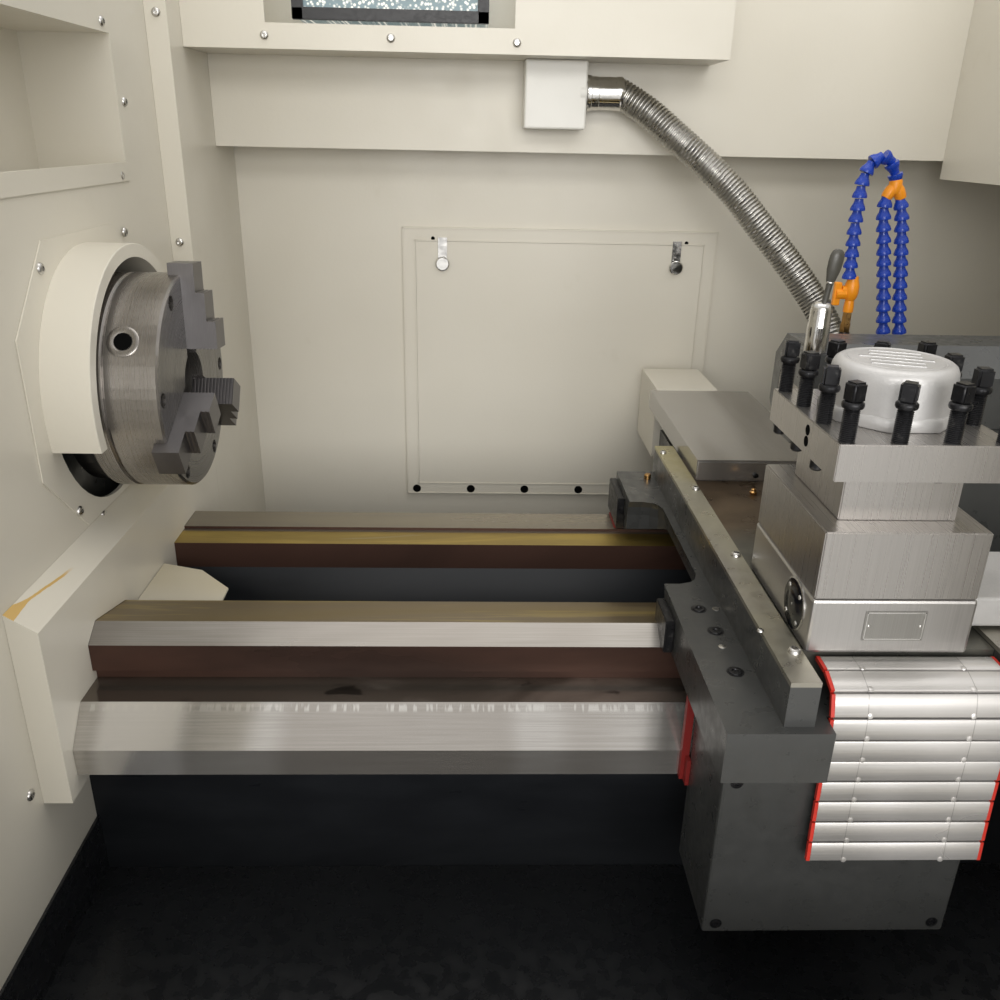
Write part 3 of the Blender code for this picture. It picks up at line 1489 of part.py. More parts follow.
def make_tailstock():
    """The tailstock casting, its quill, handwheel and quill lock."""
    barrel = plate(
        "tailstock",
        "X",
        [
            (TAIL_FLAT, TAIL_TOP),
            (-TAIL_FLAT, TAIL_TOP),
            (-TAIL_HALF, TAIL_FLAT),
            (-TAIL_HALF, -TAIL_FLAT),
            (-TAIL_FLAT, -TAIL_TOP),
            (TAIL_FLAT, -TAIL_TOP),
            (TAIL_HALF, -TAIL_FLAT),
            (TAIL_HALF, TAIL_FLAT),
        ],
        TAIL_LEFT,
        TAIL_RIGHT,
    )
    column = box(
        "tail_column",
        (TAIL_BASE_LEFT + OVERRUN, -TAIL_HALF + SHEET, TAIL_BASE_TOP - OVERRUN),
        (TAIL_RIGHT - SHEET, TAIL_HALF - SHEET, 0),
    )
    gap = SEAT
    base = plate(
        "tail_base",
        "X",
        [
            (TAIL_BASE_FRONT, TAIL_BASE_TOP),
            (TAIL_BASE_FRONT, V_OUTER_Z + gap),
            (V_OUTER_Y, V_OUTER_Z + gap),
            (V_PEAK_Y, V_PEAK_Z + gap),
            (V_INNER_Y, V_INNER_Z + gap),
            (V_INNER_Y + OVERRUN, V_PEAK_Z),
            (REAR_WAY_FRONT - OVERRUN, V_PEAK_Z),
            (REAR_WAY_STEP + gap, REAR_WAY_TOP + gap),
            (TAIL_BASE_BACK, REAR_WAY_TOP + gap),
            (TAIL_BASE_BACK, TAIL_BASE_TOP),
        ],
        TAIL_BASE_LEFT,
        TAIL_BASE_RIGHT,
    )
    block = box(
        "lock_block",
        (LOCK_X - LOCK_BLOCK_HALF, LOCK_Y - LOCK_BLOCK_HALF, LOCK_BLOCK_BOTTOM),
        (LOCK_X + LOCK_BLOCK_HALF, -(TAIL_HALF + TAIL_FLAT) / 2, LOCK_BLOCK_TOP),
    )
    bore = rod(
        "quill_bore", "X", (0, 0), QUILL_RADIUS + SEAT, TAIL_LEFT - OVERRUN, TAIL_RIGHT - OVERRUN, sides=ROUND
    )
    shaft = rod(
        "shaft_bore", "X", (0, 0), WHEEL_SHAFT + SEAT, TAIL_RIGHT - 2 * OVERRUN, TAIL_RIGHT + OVERRUN
    )
    join(barrel, column, base, block)
    cut(barrel, bore, shaft)
    finish(barrel, CAST)
    quill = turned(
        "quill",
        "X",
        ring(QUILL_RADIUS, QUILL_BORE, TAIL_LEFT + SEAT, TAIL_LEFT + QUILL_LENGTH),
        steps=MIDDLE,
    )
    finish(quill, GROUND)
    make_handwheel()
    top = LOCK_BLOCK_TOP + SEAT
    middle = (LOCK_X, LOCK_Y)
    hub_at = (*middle, top)
    hub_top = top + LOCK_TALL / 2
    lock = rod("quill_lock", "Z", middle, LOCK_RADIUS, top, hub_top, hub_at, end_radius=LOCK_RADIUS * 3 / 4)
    neck = rod("lock_neck", "Z", middle, LOCK_RADIUS / 3, top + SHEET, top + LOCK_TALL * 3 / 4)
    grip = rod("lock_grip", "Z", middle, LOCK_RADIUS * 3 / 4, top + LOCK_TALL * 2 / 3, top + LOCK_TALL)
    join(lock, neck, grip)
    finish(lock, BLACK)


def make_handwheel():
    """The tailstock's handwheel with its hub, spokes, shaft and grip."""
    at = (WHEEL_X, 0, 0)
    rim = rod("tailstock_handwheel", "X", (0, 0), WHEEL_HUB, WHEEL_X - WHEEL_RIM, WHEEL_X + WHEEL_RIM, at)
    band = turned(
        "wheel_band",
        "X",
        ring(WHEEL_RADIUS, WHEEL_RADIUS - 2 * WHEEL_RIM, WHEEL_X - WHEEL_RIM, WHEEL_X + WHEEL_RIM),
        steps=MIDDLE,
    )
    shaft = rod("wheel_shaft", "X", (0, 0), WHEEL_SHAFT, TAIL_RIGHT - OVERRUN / 2, WHEEL_X)
    grip = rod(
        "wheel_grip",
        "X",
        (-WHEEL_RADIUS + WHEEL_RIM, 0),
        WHEEL_RIM * 0.9,
        WHEEL_X,
        WHEEL_X + WHEEL_RADIUS * 0.7,
    )
    join(rim, band, shaft, grip)
    for count in range(3):
        spoke = box(
            "wheel_spoke",
            (WHEEL_X - WHEEL_RIM / 2, -WHEEL_RIM * 0.7, WHEEL_HUB / 2),
            (WHEEL_X + WHEEL_RIM / 2, WHEEL_RIM * 0.7, WHEEL_RADIUS - WHEEL_RIM),
        )
        join(rim, around(spoke, 90 + 120 * count))
    finish(rim, GROUND)


def hose_tube(name, points):
    """A round hose along (x, z) points above the coolant pipe's place."""
    curve = bpy.data.curves.new(name, "CURVE")
    curve.dimensions = "3D"
    curve.bevel_depth = HOSE_RADIUS
    curve.bevel_resolution = 3
    curve.use_fill_caps = True
    line = curve.splines.new("POLY")
    line.points.add(len(points) - 1)
    for spot, (x, z) in zip(line.points, points):
        spot.co = (x, PIPE_Y, z, 1)
    tube = bpy.data.objects.new(name, curve)
    PARTS.objects.link(tube)
    tube = as_mesh(tube)
    tube.parent = LINE
    return tube


def make_coolant_line():
    """The coolant pipe, valve and forked hose on the carriage's rear wing, and the valve's knob."""
    low = SADDLE_TOP + SEAT
    pipe = rod("coolant_line", "Z", (PIPE_X, PIPE_Y), PIPE_RADIUS, low, VALVE_HEIGHT)
    foot = box(
        "pipe_foot",
        (BRIDGE_RIGHT + SEAT, 2 * PIPE_Y - SADDLE_BACK, low),
        (PIPE_X + PIPE_RADIUS, SADDLE_BACK, low + SHEET * 2),
    )
    valve = rod(
        "valve_body", "Z", (PIPE_X, PIPE_Y), VALVE_RADIUS, VALVE_HEIGHT - VALVE_HALF, VALVE_HEIGHT + VALVE_HALF
    )
    bends = 9
    fork_x = HOSE_RISE_X + 2 * HOSE_BEND
    rise = [(PIPE_X, VALVE_HEIGHT)]
    for count in range(bends + 1):
        angle = math.pi - math.pi * count / bends
        across = HOSE_BEND * (1 + math.cos(angle))
        rise.append((HOSE_RISE_X + across, HOSE_TOP - HOSE_BEND + HOSE_BEND * math.sin(angle)))
    rise.append((fork_x, FORK_HEIGHT))
    fork = box(
        "hose_fork",
        (fork_x - FORK_HALF - FORK_BLOCK, PIPE_Y - FORK_BLOCK, FORK_HEIGHT - FORK_BLOCK),
        (fork_x + FORK_HALF + FORK_BLOCK, PIPE_Y + FORK_BLOCK, FORK_HEIGHT + FORK_BLOCK),
    )
    soften(fork, SHEET)
    tubes = [hose_tube("hose_rise", rise)]
    for name, side in (("hose_left", -1), ("hose_right", 1)):
        top = (fork_x + side * FORK_HALF, FORK_HEIGHT)
        tip = (HOSE_END_X + side * HOSE_SPREAD, HOSE_END)
        tubes.append(hose_tube(name, [top, tip]))
    join(pipe, foot, valve, *tubes, fork)
    finish(pipe, BLUE)
    knob_at = (PIPE_X - VALVE_RADIUS - SEAT, PIPE_Y, VALVE_HEIGHT)
    knob_end = knob_at[0] - KNOB_LENGTH
    knob = rod(
        "coolant_valve_knob", "X", (PIPE_Y, VALVE_HEIGHT), KNOB_RADIUS, knob_end, knob_at[0], knob_at, 12
    )
    wing = box(
        "knob_wing",
        (knob_end - SHEET, PIPE_Y - KNOB_RADIUS / 2, VALVE_HEIGHT - KNOB_WING),
        (knob_end + KNOB_LENGTH / 2, PIPE_Y + KNOB_RADIUS / 2, VALVE_HEIGHT + KNOB_WING),
    )
    soften(wing, SHEET / 2)
    join(knob, wing)
    finish(knob, ORANGE)


def make_control_box():
    """The control box on the front skin, with its stop button and hand pulse wheel."""
    front = CASE_FRONT - SEAT - CONTROL_DEPTH
    made = box(
        "control_box",
        (CONTROL_LEFT, front, CONTROL_BOTTOM),
        (CONTROL_RIGHT, CASE_FRONT - SEAT, CONTROL_TOP),
    )
    soften(made, SHEET * 2)
    screen = box(
        "screen_recess",
        (CONTROL_LEFT + SCREEN_MARGIN, front - OVERRUN, CONTROL_TOP - SCREEN_MARGIN - SCREEN_HEIGHT),
        (CONTROL_RIGHT - SCREEN_MARGIN, front + SCREEN_SINK, CONTROL_TOP - SCREEN_MARGIN),
    )
    row = CONTROL_BOTTOM + SCREEN_MARGIN * 1.5
    wheel_row = row + ESTOP_RADIUS + MPG_RADIUS + SCREEN_MARGIN
    stop_x = CONTROL_LEFT + SCREEN_MARGIN * 1.5
    wheel_x = CONTROL_RIGHT - SCREEN_MARGIN * 1.5
    stem = ESTOP_STEM
    deep = front + 2 * ESTOP_TALL
    stop_bore = rod("stop_bore", "Y", (stop_x, row), stem + SEAT, front - OVERRUN, deep)
    wheel_bore = rod("pulse_bore", "Y", (wheel_x, wheel_row), stem + SEAT, front - OVERRUN, deep)
    cut(made, screen, stop_bore, wheel_bore)
    finish(made, CREAM)
    head = front - ESTOP_TRAVEL - SEAT
    button = rod(
        "stop_button",
        "Y",
        (stop_x, row),
        ESTOP_RADIUS,
        head - ESTOP_TALL,
        head,
        (stop_x, head, row),
        MIDDLE,
    )
    join(button, rod("stop_stem", "Y", (stop_x, row), stem, head - SHEET, deep - ESTOP_TALL))
    finish(button, RED)
    wheel = rod(
        "pulse_wheel",
        "Y",
        (wheel_x, wheel_row),
        MPG_RADIUS,
        front - SEAT - MPG_TALL,
        front - SEAT,
        (wheel_x, front, wheel_row),
        MIDDLE,
    )
    join(wheel, rod("pulse_stem", "Y", (wheel_x, wheel_row), stem, front - MPG_TALL / 2, deep - SEAT * 3))
    finish(wheel, BLACK)


def build():
    """Make every piece."""
    make_bed()
    make_pedestals()
    make_chip_tray()
    make_headstock()
    make_headstock_cover()
    make_flange_plate()
    make_chuck_guard()
    make_bed_end_cover()
    make_corner_panel()
    make_back_wall()
    make_hatch()
    make_back_beam()
    make_lamp()
    make_cable_box()
    make_right_cover()
    make_front_frame()
    make_door("left", DOOR_LEFT_EDGE - DOOR_WIDTH, DOOR_LEFT_EDGE - DOOR_LAP * 2)
    make_door("right", DOOR_RIGHT_EDGE, DOOR_RIGHT_EDGE + DOOR_LAP * 2)
    make_z_drive()
    make_spindle_motor()
    make_spindle()
    make_chuck()
    make_saddle()
    make_apron()
    make_wiper()
    make_roll_cover()
    make_x_covers()
    make_junction_box()
    make_conduit()
    make_cross_slide()
    make_turret_base()
    make_turret()
    make_tailstock()
    make_coolant_line()
    make_control_box()


build()
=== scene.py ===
"""Looks of the CNC turning lathe: finishes, small fittings, lights and the photograph's camera.

Places are metres in the spindle's own frame, as in part.py, and at() moves them to the row frame.
"""

import math

import bmesh
import bpy
from mathutils import Matrix, Vector


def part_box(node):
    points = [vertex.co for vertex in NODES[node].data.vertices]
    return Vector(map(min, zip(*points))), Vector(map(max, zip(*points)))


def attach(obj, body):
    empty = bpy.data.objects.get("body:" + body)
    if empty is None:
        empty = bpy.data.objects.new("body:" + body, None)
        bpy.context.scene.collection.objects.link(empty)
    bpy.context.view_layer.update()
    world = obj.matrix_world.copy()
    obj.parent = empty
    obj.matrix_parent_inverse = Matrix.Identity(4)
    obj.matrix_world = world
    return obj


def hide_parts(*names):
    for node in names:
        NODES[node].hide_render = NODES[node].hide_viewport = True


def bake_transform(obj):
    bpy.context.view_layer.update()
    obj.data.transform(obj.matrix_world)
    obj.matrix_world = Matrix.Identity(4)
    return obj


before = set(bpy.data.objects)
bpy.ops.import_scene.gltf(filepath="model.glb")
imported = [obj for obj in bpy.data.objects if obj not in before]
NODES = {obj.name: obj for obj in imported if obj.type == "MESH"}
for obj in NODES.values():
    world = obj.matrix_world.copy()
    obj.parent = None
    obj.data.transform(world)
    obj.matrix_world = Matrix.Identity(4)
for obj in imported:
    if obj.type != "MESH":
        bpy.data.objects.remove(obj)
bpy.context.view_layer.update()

# The spindle's front end, read from the frame
CHUCK_LOW, CHUCK_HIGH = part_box("chuck_body")
SPINDLE = Vector((CHUCK_HIGH.x, (CHUCK_LOW.y + CHUCK_HIGH.y) / 2, (CHUCK_LOW.z + CHUCK_HIGH.z) / 2))

# The camera, fitted to the photograph
CAMERA_PLACE = (0.33313, -1.04536, 0.28039)
CAMERA_PITCH = 22.4494
CAMERA_YAW = -1.9735
CAMERA_ROLL = -1.2352
CAMERA_LENS = 31.934
SENSOR = 36

# Planes and edges of the work space
WALL_X = -0.11
CORNER_Y = 0.31
BACK_Y = 0.605
LAMP_Y = 0.37
ROLL_LEFT, ROLL_RIGHT = 0.648, 0.814
STREAK = ((-0.108, -0.306), (-0.094, -0.176))


def at(x, y, z):
    """A point of the spindle's frame in the row frame."""
    return SPINDLE + Vector((x, y, z))


# What a fresh scene holds is taken out
for startup in ("Cube", "Light", "Camera"):
    found = bpy.data.objects.get(startup)
    if found:
        bpy.data.objects.remove(found, do_unlink=True)


def scaled(colour, share):
    """A colour made lighter or darker."""
    return tuple(share * part for part in colour)


class Finish:
    """A material on one Principled BSDF, with short calls for its nodes."""

    def __init__(self, name, colour, roughness, metallic=0.0, **sockets):
        self.material = bpy.data.materials.new(name)
        self.material.use_nodes = True
        self.tree = self.material.node_tree
        self.shader = self.tree.nodes["Principled BSDF"]
        self.shader.inputs["Base Color"].default_value = (*colour, 1)
        self.shader.inputs["Roughness"].default_value = roughness
        self.shader.inputs["Metallic"].default_value = metallic
        for socket, value in sockets.items():
            self.shader.inputs[socket.replace("_", " ")].default_value = value
        self.place = self.tree.nodes.new("ShaderNodeTexCoord")
        self.bumps = None

    def node(self, kind, inputs=None, **settings):
        made = self.tree.nodes.new("ShaderNode" + kind)
        for key, value in settings.items():
            setattr(made, key, value)
        for key, value in (inputs or {}).items():
            self.put(value, made.inputs[key])
        return made

    def put(self, value, socket):
        """Link an output to a socket, or set the socket's value."""
        if isinstance(value, bpy.types.NodeSocket):
            self.tree.links.new(value, socket)
        else:
            socket.default_value = value

    def spot(self, stretch=(1, 1, 1)):
        """Object coordinates, stretched."""
        made = self.node("Mapping", {"Vector": self.place.outputs["Object"], "Scale": stretch})
        return made.outputs["Vector"]

    def noise(self, scale, detail=3.0, stretch=(1, 1, 1), rough=0.5, warp=0.0):
        look = {"Scale": scale, "Detail": detail, "Roughness": rough, "Distortion": warp}
        made = self.node("TexNoise", {"Vector": self.spot(stretch), **look})
        return made.outputs["Fac"]

    def ramp(self, value, low, high, start=0.0, end=1.0):
        """A value mapped from low..high to start..end, clamped and smooth."""
        ends = {"From Min": low, "From Max": high, "To Min": start, "To Max": end}
        made = self.node("MapRange", {"Value": value, **ends}, interpolation_type="SMOOTHSTEP")
        return made.outputs["Result"]

    def math(self, operation, first, second=0.0):
        made = self.node("Math", {0: first, 1: second}, operation=operation)
        return made.outputs["Value"]

    def times(self, first, second):
        return self.math("MULTIPLY", first, second)

    def less(self, first, second):
        return self.math("SUBTRACT", first, second)

    def mix(self, factor, first, second):
        made = self.node("Mix", data_type="RGBA")
        self.put(factor, made.inputs["Factor"])
        for socket, value in (("A", first), ("B", second)):
            target = [s for s in made.inputs if s.name == socket and s.type == "RGBA"][0]
            self.put((*value, 1) if isinstance(value, tuple) else value, target)
        return [s for s in made.outputs if s.type == "RGBA"][0]

    def over(self, tone, value, low, high, most, colour):
        """A colour laid over a tone as the value goes from low to high."""
        return self.mix(self.ramp(value, low, high, 0.0, most), tone, colour)

    def axis(self, name):
        """One coordinate of the surface, in the row frame."""
        split = self.node("SeparateXYZ", {"Vector": self.place.outputs["Object"]})
        return split.outputs[name]

    def facing(self, name):
        """One component of the surface's normal."""
        split = self.node("SeparateXYZ", {"Vector": self.place.outputs["Normal"]})
        return split.outputs[name]

    def colour(self, value):
        self.put(value, self.shader.inputs["Base Color"])

    def rough(self, value, start, end, low=0.3, high=0.7):
        """Roughness from start to end as the value goes from low to high."""
        self.put(self.ramp(value, low, high, start, end), self.shader.inputs["Roughness"])

    def bump(self, height, depth, strength=1.0):
        """Bump of a depth in metres, laid over any bump before it."""
        made = self.node("Bump", {"Height": height, "Distance": depth, "Strength": strength})
        if self.bumps:
            self.put(self.bumps, made.inputs["Normal"])
        self.bumps = made.outputs["Normal"]
        self.put(self.bumps, self.shader.inputs["Normal"])

    def band(self, value, middle, half, soft):
        """1 within half of the middle, fading to 0 over soft."""
        away = self.math("ABSOLUTE", self.less(value, middle))
        return self.ramp(away, half + soft, half)


def cream_paint(name="cream", colour=(0.725, 0.69, 0.60), stain=False):
    """Semi-gloss cream paint with soft orange peel, faint smudges and, on the end cover, oil stains."""
    made = Finish(name, colour, 0.34, Specular_IOR_Level=0.5, Coat_Weight=0.12, Coat_Roughness=0.22)
    wide = made.noise(2.4, 3.0)
    spots = made.noise(14.0, 5.0, rough=0.62)
    dull = tuple(part * share for part, share in zip(colour, (0.92, 0.91, 0.89)))
    tone = made.mix(made.ramp(wide, 0.35, 0.72, 0.0, 0.5), colour, dull)
    grime = tuple(part * share for part, share in zip(colour, (0.84, 0.82, 0.77)))
    tone = made.over(tone, spots, 0.62, 0.82, 0.3, grime)
    if stain:
        ledge = made.ramp(made.facing("Z"), 0.15, 0.6)
        along = made.less(made.axis("Y"), SPINDLE.y + STREAK[0][1])
        share = (STREAK[1][0] - STREAK[0][0]) / (STREAK[1][1] - STREAK[0][1])
        middle = made.math("ADD", made.times(along, share), SPINDLE.x + STREAK[0][0])
        away = made.less(made.axis("X"), middle)
        away = made.math("ADD", away, made.times(made.less(spots, 0.5), 0.006))
        wide_end = made.ramp(along, 0.05, 0.0, 0.0012, 0.0075)
        inside = made.math("LESS_THAN", made.math("ABSOLUTE", away), wide_end)
        length = made.ramp(along, STREAK[1][1] - STREAK[0][1], STREAK[1][1] - STREAK[0][1] - 0.03)
        oil = made.times(made.times(ledge, inside), length)
        tone = made.mix(made.times(oil, 0.8), tone, (0.62, 0.36, 0.03))
        seep = made.band(made.axis("Y"), SPINDLE.y + 0.05, 0.05, 0.1)
        seep = made.times(made.times(seep, ledge), made.ramp(wide, 0.35, 0.65, 0.1, 0.6))
        tone = made.mix(seep, tone, (0.55, 0.46, 0.24))
    made.colour(tone)
    made.rough(spots, 0.29, 0.42)
    made.bump(made.noise(170.0, 2.0), 0.00012)
    made.bump(made.noise(5.0, 2.0), 0.0012, 0.6)
    return made.material


def casting_paint(name="casting", colour=(0.037, 0.038, 0.037), gloss=0.32, strips=False):
    """Glossy dark grey paint on a casting, with faint scuffs, and the ground steel strips on its bridge."""
    made = Finish(name, colour, gloss, Specular_IOR_Level=0.5, Coat_Weight=0.22, Coat_Roughness=0.2)
    wide = made.noise(5.0, 4.0, rough=0.55)
    fine = made.noise(60.0, 4.0)
    scuffs = made.noise(34.0, 6.0, (0.18, 1.0, 1.0), rough=0.7, warp=1.4)
    tone = made.mix(made.ramp(wide, 0.35, 0.75), colour, scaled(colour, 1.4))
    tone = made.over(tone, scuffs, 0.68, 0.74, 0.3, scaled(colour, 1.9))
    if strips:
        steel = made.ramp(made.axis("Z"), SPINDLE.z - 0.1875, SPINDLE.z - 0.186)
        steel = made.times(steel, made.ramp(made.axis("X"), SPINDLE.x + 0.868, SPINDLE.x + 0.862))
        edge = made.ramp(made.axis("Z"), SPINDLE.z - 0.1500, SPINDLE.z - 0.1488)
        steel = made.times(steel, made.math("MAXIMUM", edge, made.ramp(made.facing("Z"), 0.6, 0.8)))
        film = made.noise(9.0, 3.0, (1.0, 0.45, 1.0), warp=0.8)
        metal = made.mix(made.ramp(film, 0.35, 0.6), (0.34, 0.32, 0.30), (0.44, 0.42, 0.33))
        metal = made.over(metal, film, 0.58, 0.7, 0.8, (0.50, 0.45, 0.24))
        tone = made.mix(steel, tone, metal)
        made.put(made.times(steel, 0.85), made.shader.inputs["Metallic"])
    made.colour(tone)
    made.rough(fine, gloss - 0.06, gloss + 0.12)
    made.bump(made.noise(220.0, 3.0), 0.00016, 0.6)
    made.bump(made.noise(14.0, 3.0), 0.0008, 0.3)
    return made.material


def ground_steel(name, colour, rough):
    """Ground steel: fine upright lines on its sides, level ones on top, and soft painted sheen bands that
    vary mostly along X.
    """
    made = Finish(name, colour, rough, 0.88, Anisotropic=0.25)
    upright = made.noise(1300.0, 1.0, (1.0, 1.0, 0.004))
    level = made.noise(1300.0, 1.0, (1.0, 0.004, 1.0))
    lines = made.ramp(made.ramp(made.facing("Z"), 0.6, 0.8), 0.0, 1.0, upright, level)
    # Painted sheen: soft bands, varying mostly along X, make the steel up to 1.2 times lighter in place of
    # reflected light
    wide = made.noise(7.0, 2.0, (1.0, 0.3, 0.3))
    tone = made.mix(made.ramp(lines, 0.25, 0.75), scaled(colour, 0.95), scaled(colour, 1.05))
    tone = made.over(tone, wide, 0.35, 0.65, 0.35, scaled(colour, 1.2))
    made.colour(tone)
    made.rough(lines, rough - 0.01, rough + 0.02, 0.25, 0.75)
    made.bump(lines, 0.00002, 0.6)
    return made.material


def turned_steel(name, colour, face, rough):
    """Steel turned about the spindle's axis: a satin rim with faint lines and a darker, duller face."""
    made = Finish(name, colour, rough, 0.9, Anisotropic=0.35)
    y = made.less(made.axis("Y"), SPINDLE.y)
    z = made.less(made.axis("Z"), SPINDLE.z)
    radius = made.math("SQRT", made.math("ADD", made.times(y, y), made.times(z, z)))
    place = made.node("CombineXYZ", {"X": radius, "Y": made.axis("X"), "Z": 0.0})
    rings = made.node("TexNoise", {"Vector": place.outputs["Vector"], "Scale": 600.0, "Detail": 2.0})
    broad = made.node("TexNoise", {"Vector": place.outputs["Vector"], "Scale": 40.0, "Detail": 2.0})
    wear = made.noise(16.0, 4.0, rough=0.6)
    flat = made.ramp(made.facing("X"), 0.8, 0.95)
    tone = made.mix(flat, colour, face)
    tone = made.over(tone, rings.outputs["Fac"], 0.3, 0.7, 0.06, (0.12, 0.115, 0.11))
    tone = made.over(tone, broad.outputs["Fac"], 0.42, 0.7, 0.14, (0.5, 0.47, 0.44))
    tone = made.over(tone, wear, 0.6, 0.8, 0.3, (0.10, 0.085, 0.07))
    made.colour(tone)
    made.rough(rings.outputs["Fac"], rough - 0.01, rough + 0.03)
    made.bump(rings.outputs["Fac"], 0.000006, 0.4)
    return made.material


def way_finish():
    """The bed: dark paint, ground ways with yellow oil on their tops, and brown oily sides."""
    made = Finish("bed_finish", (0.03, 0.032, 0.035), 0.3, 0.0, Specular_IOR_Level=0.16)
    height = made.axis("Z")
    up = made.facing("Z")
    lines = made.noise(700.0, 2.0, (0.015, 1.0, 1.0))
    cloud = made.noise(6.0, 5.0, (0.3, 1.4, 1.0), rough=0.6, warp=0.5)
    runs = made.noise(9.0, 6.0, (0.22, 2.2, 1.0), rough=0.62, warp=1.2)
    # Painted reflection bands: noise that varies along X only, darkening the ground ways in soft upright
    # bands
    painted_reflection_bands = made.noise(7.5, 1.0, (1.0, 0.05, 0.05))
    high = made.ramp(height, SPINDLE.z - 0.2715, SPINDLE.z - 0.2700)
    way = made.times(high, made.ramp(up, 0.2, 0.35))
    top = made.times(high, made.ramp(up, 0.93, 0.985))
    steel = made.mix(made.ramp(lines, 0.3, 0.7), (0.255, 0.24, 0.22), (0.30, 0.285, 0.265))
    steel = made.mix(made.ramp(painted_reflection_bands, 0.42, 0.62, 0.5, 0.0), steel, (0.23, 0.21, 0.19))
    oily = made.mix(made.ramp(cloud, 0.38, 0.62), (0.17, 0.115, 0.045), (0.25, 0.18, 0.065))
    oily = made.over(oily, runs, 0.52, 0.62, 0.85, (0.40, 0.29, 0.07))
    oily = made.over(oily, runs, 0.36, 0.30, 0.7, (0.33, 0.31, 0.28))
    rear = made.ramp(made.axis("Y"), SPINDLE.y + 0.04, SPINDLE.y + 0.06)
    rear = made.times(rear, made.ramp(runs, 0.40, 0.60, 0.45, 0.9))
    oily = made.mix(rear, oily, (0.50, 0.37, 0.10))
    back = made.ramp(made.axis("Y"), SPINDLE.y + 0.122, SPINDLE.y + 0.127)
    oily = made.mix(made.times(back, 0.85), oily, (0.27, 0.255, 0.235))
    side = made.times(made.ramp(height, SPINDLE.z - 0.305, SPINDLE.z - 0.295), made.ramp(up, 0.3, 0.1))
    rust = made.mix(made.ramp(cloud, 0.35, 0.7), (0.035, 0.022, 0.018), (0.075, 0.04, 0.03))
    paint = made.mix(made.ramp(cloud, 0.4, 0.7), (0.010, 0.011, 0.013), (0.018, 0.020, 0.023))
    tone = made.mix(side, paint, rust)
    tone = made.mix(way, tone, steel)
    tone = made.mix(top, tone, oily)
    made.colour(tone)
    metal = made.math("MAXIMUM", made.times(way, 0.85), made.times(side, 0.3))
    made.put(metal, made.shader.inputs["Metallic"])
    made.rough(cloud, 0.24, 0.38)
    made.bump(lines, 0.00002, 0.5)
    made.bump(made.noise(150.0, 3.0), 0.0002, 0.2)
    return made.material


def stainless(name, stretch, oily=True, rough=0.16, painted_shade_share=1.0):
    """Bright stainless sheet, brushed along its length, with soft painted reflection bands across, tones
    that a share can darken as painted shade, and dark oil on top.
    """
    made = Finish(name, (0.55, 0.53, 0.50), rough, 0.8, Anisotropic=0.4)
    lines = made.noise(600.0, 2.0, stretch)
    # Painted reflection bands: noise varying along X darkens and lightens the sheet in soft bands; it also
    # sets roughness and a bump
    painted_reflection_bands = made.noise(7.0, 1.0, (1.0, 0.1, 0.1), warp=0.3)
    # Painted shade: both tones are scaled by the shade share, which darkens a copy of this sheet
    dark, pale = (scaled(tint, painted_shade_share) for tint in ((0.46, 0.44, 0.41), (0.56, 0.54, 0.51)))
    tone = made.mix(made.ramp(lines, 0.25, 0.75), dark, pale)
    tone = made.over(tone, painted_reflection_bands, 0.56, 0.42, 0.5, (0.27, 0.24, 0.21))
    tone = made.over(tone, painted_reflection_bands, 0.58, 0.68, 0.8, scaled((0.80, 0.78, 0.76), painted_shade_share))
    if oily:
        up = made.ramp(made.facing("Z"), 0.75, 0.95)
        cloud = made.noise(5.0, 5.0, (0.5, 1.6, 1.0), rough=0.6, warp=0.7)
        film = made.mix(made.ramp(cloud, 0.5, 0.62), (0.17, 0.145, 0.12), (0.38, 0.335, 0.29))
        spots = made.noise(26.0, 3.0, (0.8, 1.4, 1.0), warp=0.6)
        film = made.over(film, spots, 0.64, 0.70, 0.8, (0.028, 0.024, 0.02))
        tone = made.mix(up, tone, film)
        edge = made.band(made.axis("Z"), SPINDLE.z - 0.2895, 0.0012, 0.003)
        drips = made.times(edge, made.ramp(made.noise(190.0, 2.0, (1, 0.1, 0.2)), 0.50, 0.60))
        tone = made.mix(made.times(drips, 0.45), tone, (0.80, 0.79, 0.75))
    made.colour(tone)
    made.rough(painted_reflection_bands, rough + 0.08, rough - 0.03, 0.35, 0.65)
    made.bump(lines, 0.00001, 0.5)
    made.bump(painted_reflection_bands, 0.006, 0.3)
    return made.material


def oiled_slide():
    """The cross slide's top: brown oil beside its cover, olive grey steel further to the front."""
    made = Finish("oiled_slide", (0.12, 0.115, 0.10), 0.3, 0.75)
    cloud = made.noise(11.0, 5.0, rough=0.6, warp=0.6)
    brown = made.mix(made.ramp(cloud, 0.4, 0.65), (0.10, 0.065, 0.035), (0.17, 0.12, 0.075))
    grey = made.mix(made.ramp(cloud, 0.4, 0.65), (0.12, 0.12, 0.105), (0.17, 0.165, 0.14))
    away = made.ramp(made.axis("Y"), SPINDLE.y - 0.06, SPINDLE.y - 0.15)
    made.colour(made.mix(away, brown, grey))
    made.rough(cloud, 0.24, 0.4)
    made.bump(made.noise(400.0, 2.0, (0.03, 1.0, 1.0)), 0.00003, 0.6)
    return made.material


def cast_aluminium(name, colour=(0.60, 0.60, 0.585), rough=0.42, metallic=0.85):
    """Sand cast aluminium."""
    made = Finish(name, colour, rough, metallic)
    grain = made.noise(420.0, 4.0, rough=0.6)
    wide = made.noise(14.0, 4.0)
    made.colour(made.mix(made.ramp(wide, 0.35, 0.7), colour, scaled(colour, 0.84)))
    made.rough(grain, rough - 0.08, rough + 0.14)
    made.bump(grain, 0.00025, 0.7)
    return made.material


